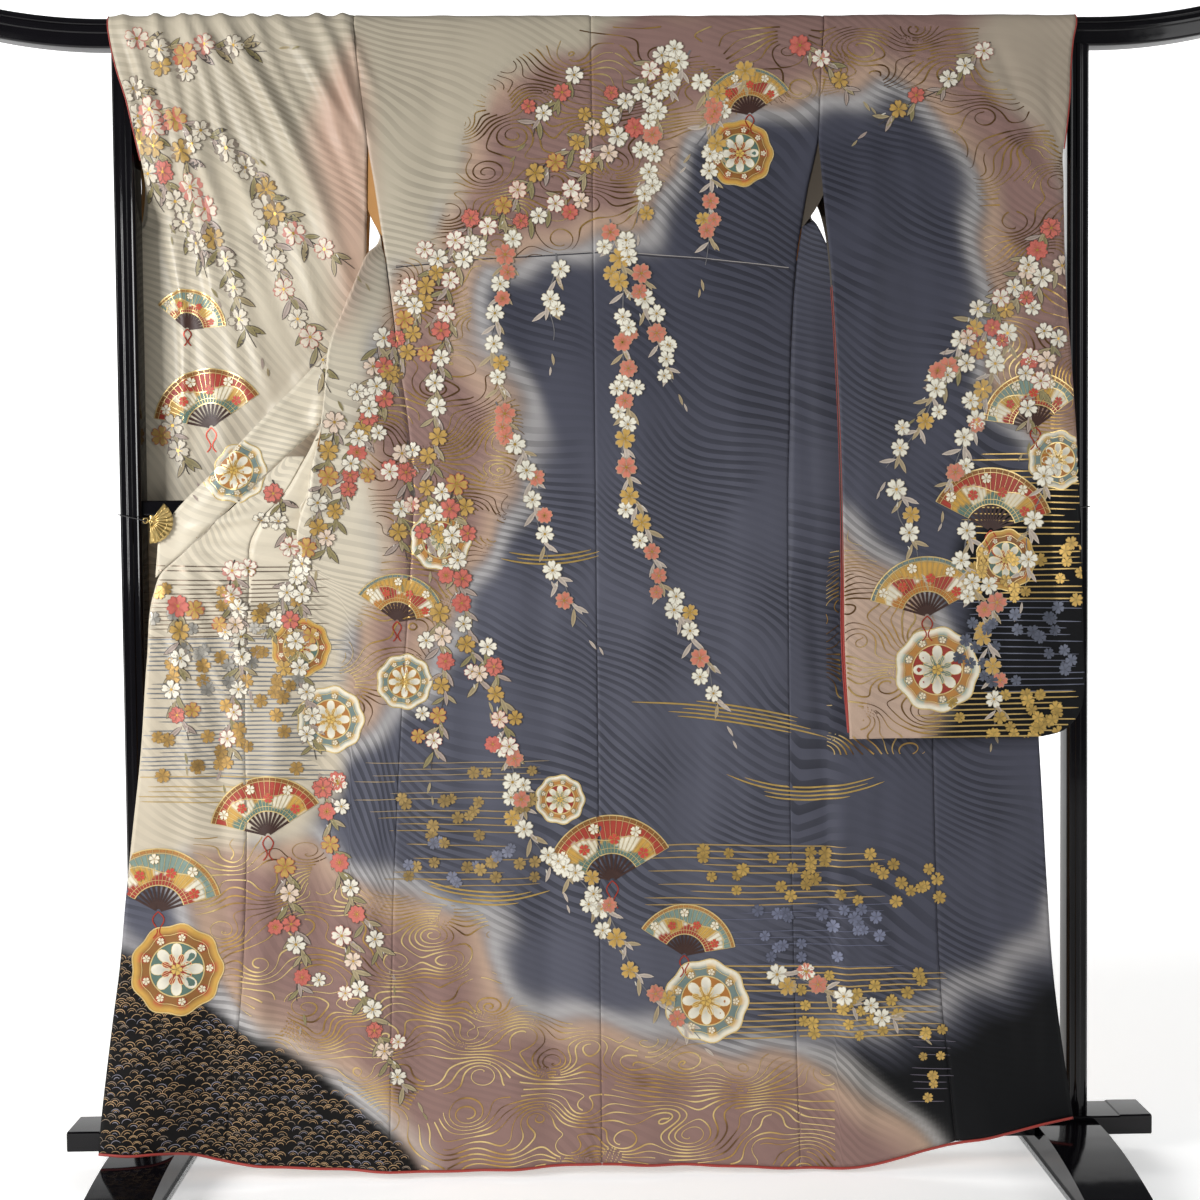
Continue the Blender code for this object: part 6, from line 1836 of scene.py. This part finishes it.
def fan_motif(sheets, centre, size, turned, colours):
    """Fan leaf from 0.42 to 1 of the radius over 136 degrees, 22 folds, in bands and panels of colour."""
    def spokes(count, spare=22):
        """So many angles across the fan, that stop so many degrees short of level on both sides."""
        return np.linspace(math.radians(180 - spare), math.radians(spare), count) + turned

    folds = 22
    edges = 2 * folds + 1
    r, a = np.meshgrid(np.linspace(0.42, 1.0, 13), spokes(edges), indexing="ij")
    share = (np.arange(edges) / (edges - 1))[None]
    hill = 0.72 + 0.10 * np.sin(share * 9.0)
    cloud = 0.55 + 0.07 * np.sin(share * 14 + 1.0)
    ink = np.where((r > hill)[..., None], colours[0], np.where((r < cloud)[..., None], colours[3], colours[1]))
    panel_at = (np.floor(share * 5).astype(int) % 2 == 1) & (r > cloud) & (r < hill)
    ink = np.where(panel_at[..., None], colours[2], ink)
    ink = np.where((r > 0.95)[..., None], colours[4], ink)
    pleat = (0.86 + 0.14 * (np.arange(edges) % 2))[None, :, None]
    lay(sheets["motifs"], (centre + polar(a, r) * size).reshape(-1, 2),
        two_triangles(grid_faces(13, edges))[:, ::-1], (ink * pleat).reshape(-1, 3))
    gilt = sheets["gilt"]
    reach = np.linspace(0.04, 0.42, 5)
    draw(sheets["sticks"], centre + polar(spokes(12, 24)[:, None], reach) * size, 0.0024 + 0.0030 * reach,
         linear("#3A2018"))
    fine = polar(spokes(folds + 1)[:, None], np.linspace(0.42, 1.0, 6)) * size
    draw(gilt, centre + fine, 0.0007, LIGHT_GOLD * 0.8)
    arc = polar(spokes(60)) * size
    for at, wide in ((1.0, 0.0017), (0.93, 0.0008), (0.42, 0.0014), (0.50, 0.0007)):
        draw(gilt, (centre + arc * at)[None], wide, LIGHT_GOLD)
    ridge = 0.72 + 0.10 * np.sin(np.linspace(0, 1, 60) * 9.0)
    draw(gilt, (centre + arc * ridge[:, None])[None], 0.0012, LIGHT_GOLD)
    spots = spokes(6, 34)
    turn = np.arange(6) % 2
    at = centre + polar(spots) * size * np.array([0.84, 0.64])[turn][:, None]
    ink = np.array([linear("#EFE6CF"), linear("#C8453A")])[turn]
    flowers(sheets["small"], at, np.full(6, size * 0.085), spots, ink,
            np.broadcast_to(linear("#B58E3F"), (6, 3)))
    # two cords that hang from the pivot
    t = np.linspace(0, 1, 26)
    for way in (-1, 1):
        cord = join(way * (0.10 * t + 0.06 * np.sin(6 * t)), -0.42 * t) * size
        draw(gilt, (centre + cord)[None], 0.0016, linear("#B5402F"))


def petal_ring(sheets, centre, size, turned, ends, wide, ink):
    """Eight petals round a centre: ovals between two radii, of half width wide * size, edged in gilt."""
    count, around = 8, 14
    step = np.arange(around) * 2 * math.pi / around
    inner, outer = ends
    out = (inner + outer) / 2 + (outer - inner) / 2 * np.cos(step)
    beside = wide * np.sin(step) * (0.75 + 0.25 * np.cos(step))
    turn = (turned + np.arange(count) * 2 * math.pi / count)[:, None]
    rims = centre + polar(turn, out, beside) * size
    middles = centre + polar(turn) * (inner * 0.7 + outer * 0.3) * size
    shade = np.concatenate([[0.62], 0.86 + 0.14 * np.cos(step)])[None, :, None] * ink
    lay(sheets["petals"], np.concatenate([middles, rims], axis=1).reshape(-1, 2), pie(count, around),
        np.tile(shade, (count, 1, 1)).reshape(-1, 3))
    draw(sheets["gilt"], np.concatenate([rims, rims[:, :1]], axis=1), 0.0007, LIGHT_GOLD)


def round_motif(sheets, centre, size, turned, colours):
    """Rosette of two rings of petals on a plain ground, inside a wreath of 9 lobes, a band and a rim."""
    around = 72
    angle = np.arange(around) * 2 * math.pi / around + turned
    bands = (0.0, 0.15, 0.30, 0.45, 0.60, 0.62, 0.70, 0.78, 0.80, 0.92, 1.0)
    r, a = np.meshgrid(np.array(bands), angle, indexing="ij")
    swell = 1 + 0.035 * np.cos(9 * a) * (r > 0.75)
    ink = np.where((r > 0.61)[..., None], colours[4], colours[3] * 0.8)
    ink = np.where(((r > 0.64) & (np.cos(9 * a) > 0.1))[..., None], colours[0], ink)
    ink = np.where((r > 0.91)[..., None], colours[1], ink)
    lay(sheets["motifs"], (centre + polar(a, r * swell) * size).reshape(-1, 2),
        two_triangles(grid_faces(len(bands), around, True)), ink.reshape(-1, 3))
    ring = np.linspace(0, 2 * math.pi, 73) + turned
    for at, wide in ((0.60, 0.0016), (0.80, 0.0009), (1.0, 0.0016)):
        swell = 1 + 0.035 * np.cos(9 * ring) * (at > 0.75)
        draw(sheets["gilt"], (centre + polar(ring) * size * at * swell[:, None])[None], wide, LIGHT_GOLD)
    petal_ring(sheets, centre, size, turned, (0.14, 0.585), 0.155, linear("#EDE6D2"))
    petal_ring(sheets, centre, size, turned + math.pi / 8, (0.06, 0.36), 0.085, colours[0])
    flowers(sheets["small"], centre[None], np.array([size * 0.13]), np.array([turned]), linear("#D2AC56")[None],
            linear("#8A6428")[None])
    petal = np.arange(9) * 2 * math.pi / 9 + turned
    flowers(sheets["small"], centre + polar(petal) * size * 0.72, np.full(9, size * 0.085), petal,
            np.broadcast_to(linear("#E8DCC0"), (9, 3)), np.broadcast_to(linear("#A47A35"), (9, 3)))


brocade = {name: start_sheet() for name in ("motifs", "petals", "sticks", "gilt")}
brocade["small"] = {"outline": start_sheet(), "petals": start_sheet()}
for kind, px, py, size, turned, scheme in MOTIFS:
    make = fan_motif if kind == "fan" else round_motif
    low = size * 0.5 / 1000 if kind == "fan" else 0
    make(brocade, place([[px, py]])[0] - [0, low], size / 1000, math.radians(turned),
         np.array([linear(code) for code in SCHEMES[scheme]]))

# %% Press the prints on
# the tuck across the back is sewn shut: a dark line of painted shade at its step, and a pale line of painted
# highlight where its edge catches the light
ends = place(TUCK)
x = np.linspace(ends[0, 0], ends[-1, 0], 300)
tuck_line = join(x, np.interp(x, ends[:, 0], ends[:, 1]))
tuck_shade_and_highlight = start_sheet()
for lift, wide, code in ((0.0, 0.0016, "#2E2C33"), (0.0022, 0.0011, "#9A948F")):
    draw(tuck_shade_and_highlight, (tuck_line + [0, lift])[None], wide, linear(code))
for name, sheet, finish, lift in (
        ("brocade_motifs", brocade["motifs"], PAINT, 0.00045),
        ("brocade_petals", brocade["petals"], PAINT, 0.0006),
        ("brocade_fan_sticks", brocade["sticks"], PAINT, 0.0006),
        ("brocade_gilt_lines", brocade["gilt"], GOLD, 0.0007),
        ("brocade_flower_outlines", brocade["small"]["outline"], PAINT, 0.00075),
        ("brocade_flowers", brocade["small"]["petals"], PAINT, 0.00082),
        ("mist_flower_outlines", small["outline"], PAINT, 0.0005),
        ("mist_flowers", small["petals"], GOLD, 0.00058),
        ("tuck_shade_and_highlight", tuck_shade_and_highlight, PAINT, 0.0003), ("trail_stems", sheets["stems"], PAINT, 0.0006),
        ("trail_leaves", sheets["leaves"], PAINT, 0.0007),
        ("trail_flower_outlines", sheets["outline"], PAINT, 0.0008),
        ("trail_flowers", sheets["petals"], PAINT, 0.00087),
        ("trail_flower_hearts", sheets["hearts"], GOLD, 0.00094)):
    press(name, sheet, finish, lift)
bpy.data.objects.remove(BED, do_unlink=True)

# %% [markdown]
# ## Cut of the cloth
# Each panel is a sheet of lined silk. Its flat size is what its grid measures along the threads.

carried = {
    "body_left": (["top_rail"], [rolls["hem_left"], *seams]),
    "body_right": (["top_rail"], [rolls["hem_right"]]),
    "okumi_left": (["body_left"], []),
    "okumi_right": (["body_right"], []),
    "sleeve_left": (["top_rail"], [rolls["cuff_left"], rolls["near_left"], rolls["far_left"],
                                   closings["left"]]),
    "sleeve_right": (["top_rail"], [rolls["cuff_right"], rolls["near_right"], rolls["far_right"],
                                    closings["right"]]),
    "collar": (["body_left", "body_right"], []),
}
for name, (resting, pieces) in carried.items():
    (wide, long), area = cuts[name]
    wide, long = max(wide, 1.001 * area / long), long

# %% [markdown]
# ## Floor, light and camera

# %% Stage
from mathutils import Matrix, Vector

sweep = np.array([(-3.6, 0.0), (6.4, 0.0), (7.0, 0.08), (7.5, 0.4), (7.75, 1.0), (7.8, 9.0)])
points = np.concatenate([join(x, *sweep.T) for x in (-11.0, 11.0)])
floor = new_object("floor", points, grid_faces(2, len(sweep))[:, ::-1])
for name, glow in (("white_studio_floor", 0.40), ("lit_white_backdrop", 1.0)):
    paper, shader = start_material(name)
    feed(paper, shader, {"Base Color": (*linear("#F2F1EF"), 1), "Roughness": 0.9,
                         "Emission Color": (1, 1, 1, 1), "Emission Strength": glow})
    if name.endswith("floor"):
        # the floor glows behind the stand and not in front of it, so that the dark silk stays dark
        where = add_node(paper, "TexCoord", {}).outputs["Object"]
        depth = add_node(paper, "SeparateXYZ", {0: where}).outputs["Y"]
        lit = add_node(paper, "MapRange", {0: depth, 1: -0.75, 2: -0.40, 3: 0.0, 4: glow})
        far = add_node(paper, "MapRange", {0: depth, 1: 0.8, 2: 3.0, 3: 0.0, 4: 0.6})
        feed(paper, shader, {"Emission Strength": add_node(paper, "Math", {0: lit, 1: far}, operation="ADD")})
    floor.data.materials.append(paper)
floor.data.polygons.foreach_set("material_index", np.array([0, 1, 1, 1, 1], dtype=np.int32))


def soft_box(name, at, aim, size, power):
    """A square area light that faces a point."""
    light = bpy.data.lights.new(name, "AREA")
    light.shape = "RECTANGLE"
    light.size, light.size_y = size
    light.energy = power
    made = bpy.data.objects.new(name, light)
    made.location = at
    made.rotation_euler = (Vector(aim) - Vector(at)).to_track_quat("-Z", "Y").to_euler()
    made.visible_camera = False
    bpy.context.scene.collection.objects.link(made)


soft_box("key", (-2.3, -1.6, 1.35), (0, 0, 0.85), (1.1, 1.1), 70)
soft_box("fill", (2.7, -2.5, 1.6), (0, 0, 0.8), (1.6, 2.0), 34)
soft_box("back", (0.3, 2.2, 2.4), (0, 0, 1.2), (2.4, 1.2), 22)
world = bpy.data.worlds.new("studio")
world.use_nodes = True
world.node_tree.nodes["Background"].inputs["Color"].default_value = (0.9, 0.95, 1.0, 1)
world.node_tree.nodes["Background"].inputs["Strength"].default_value = 0.16
bpy.context.scene.world = world
bpy.context.scene.view_settings.view_transform = "Standard"

camera = bpy.data.cameras.new("camera")
camera.lens = FOCAL * 36 / (2 * HALF)
camera.sensor_width = 36
camera.clip_start = 0.05
viewer = bpy.data.objects.new("camera", camera)
basis = Matrix((RIGHT, UP, -FORWARD)).transposed()
viewer.matrix_world = Matrix.Translation(CAMERA_AT) @ basis.to_4x4()
bpy.context.scene.collection.objects.link(viewer)
bpy.context.scene.camera = viewer
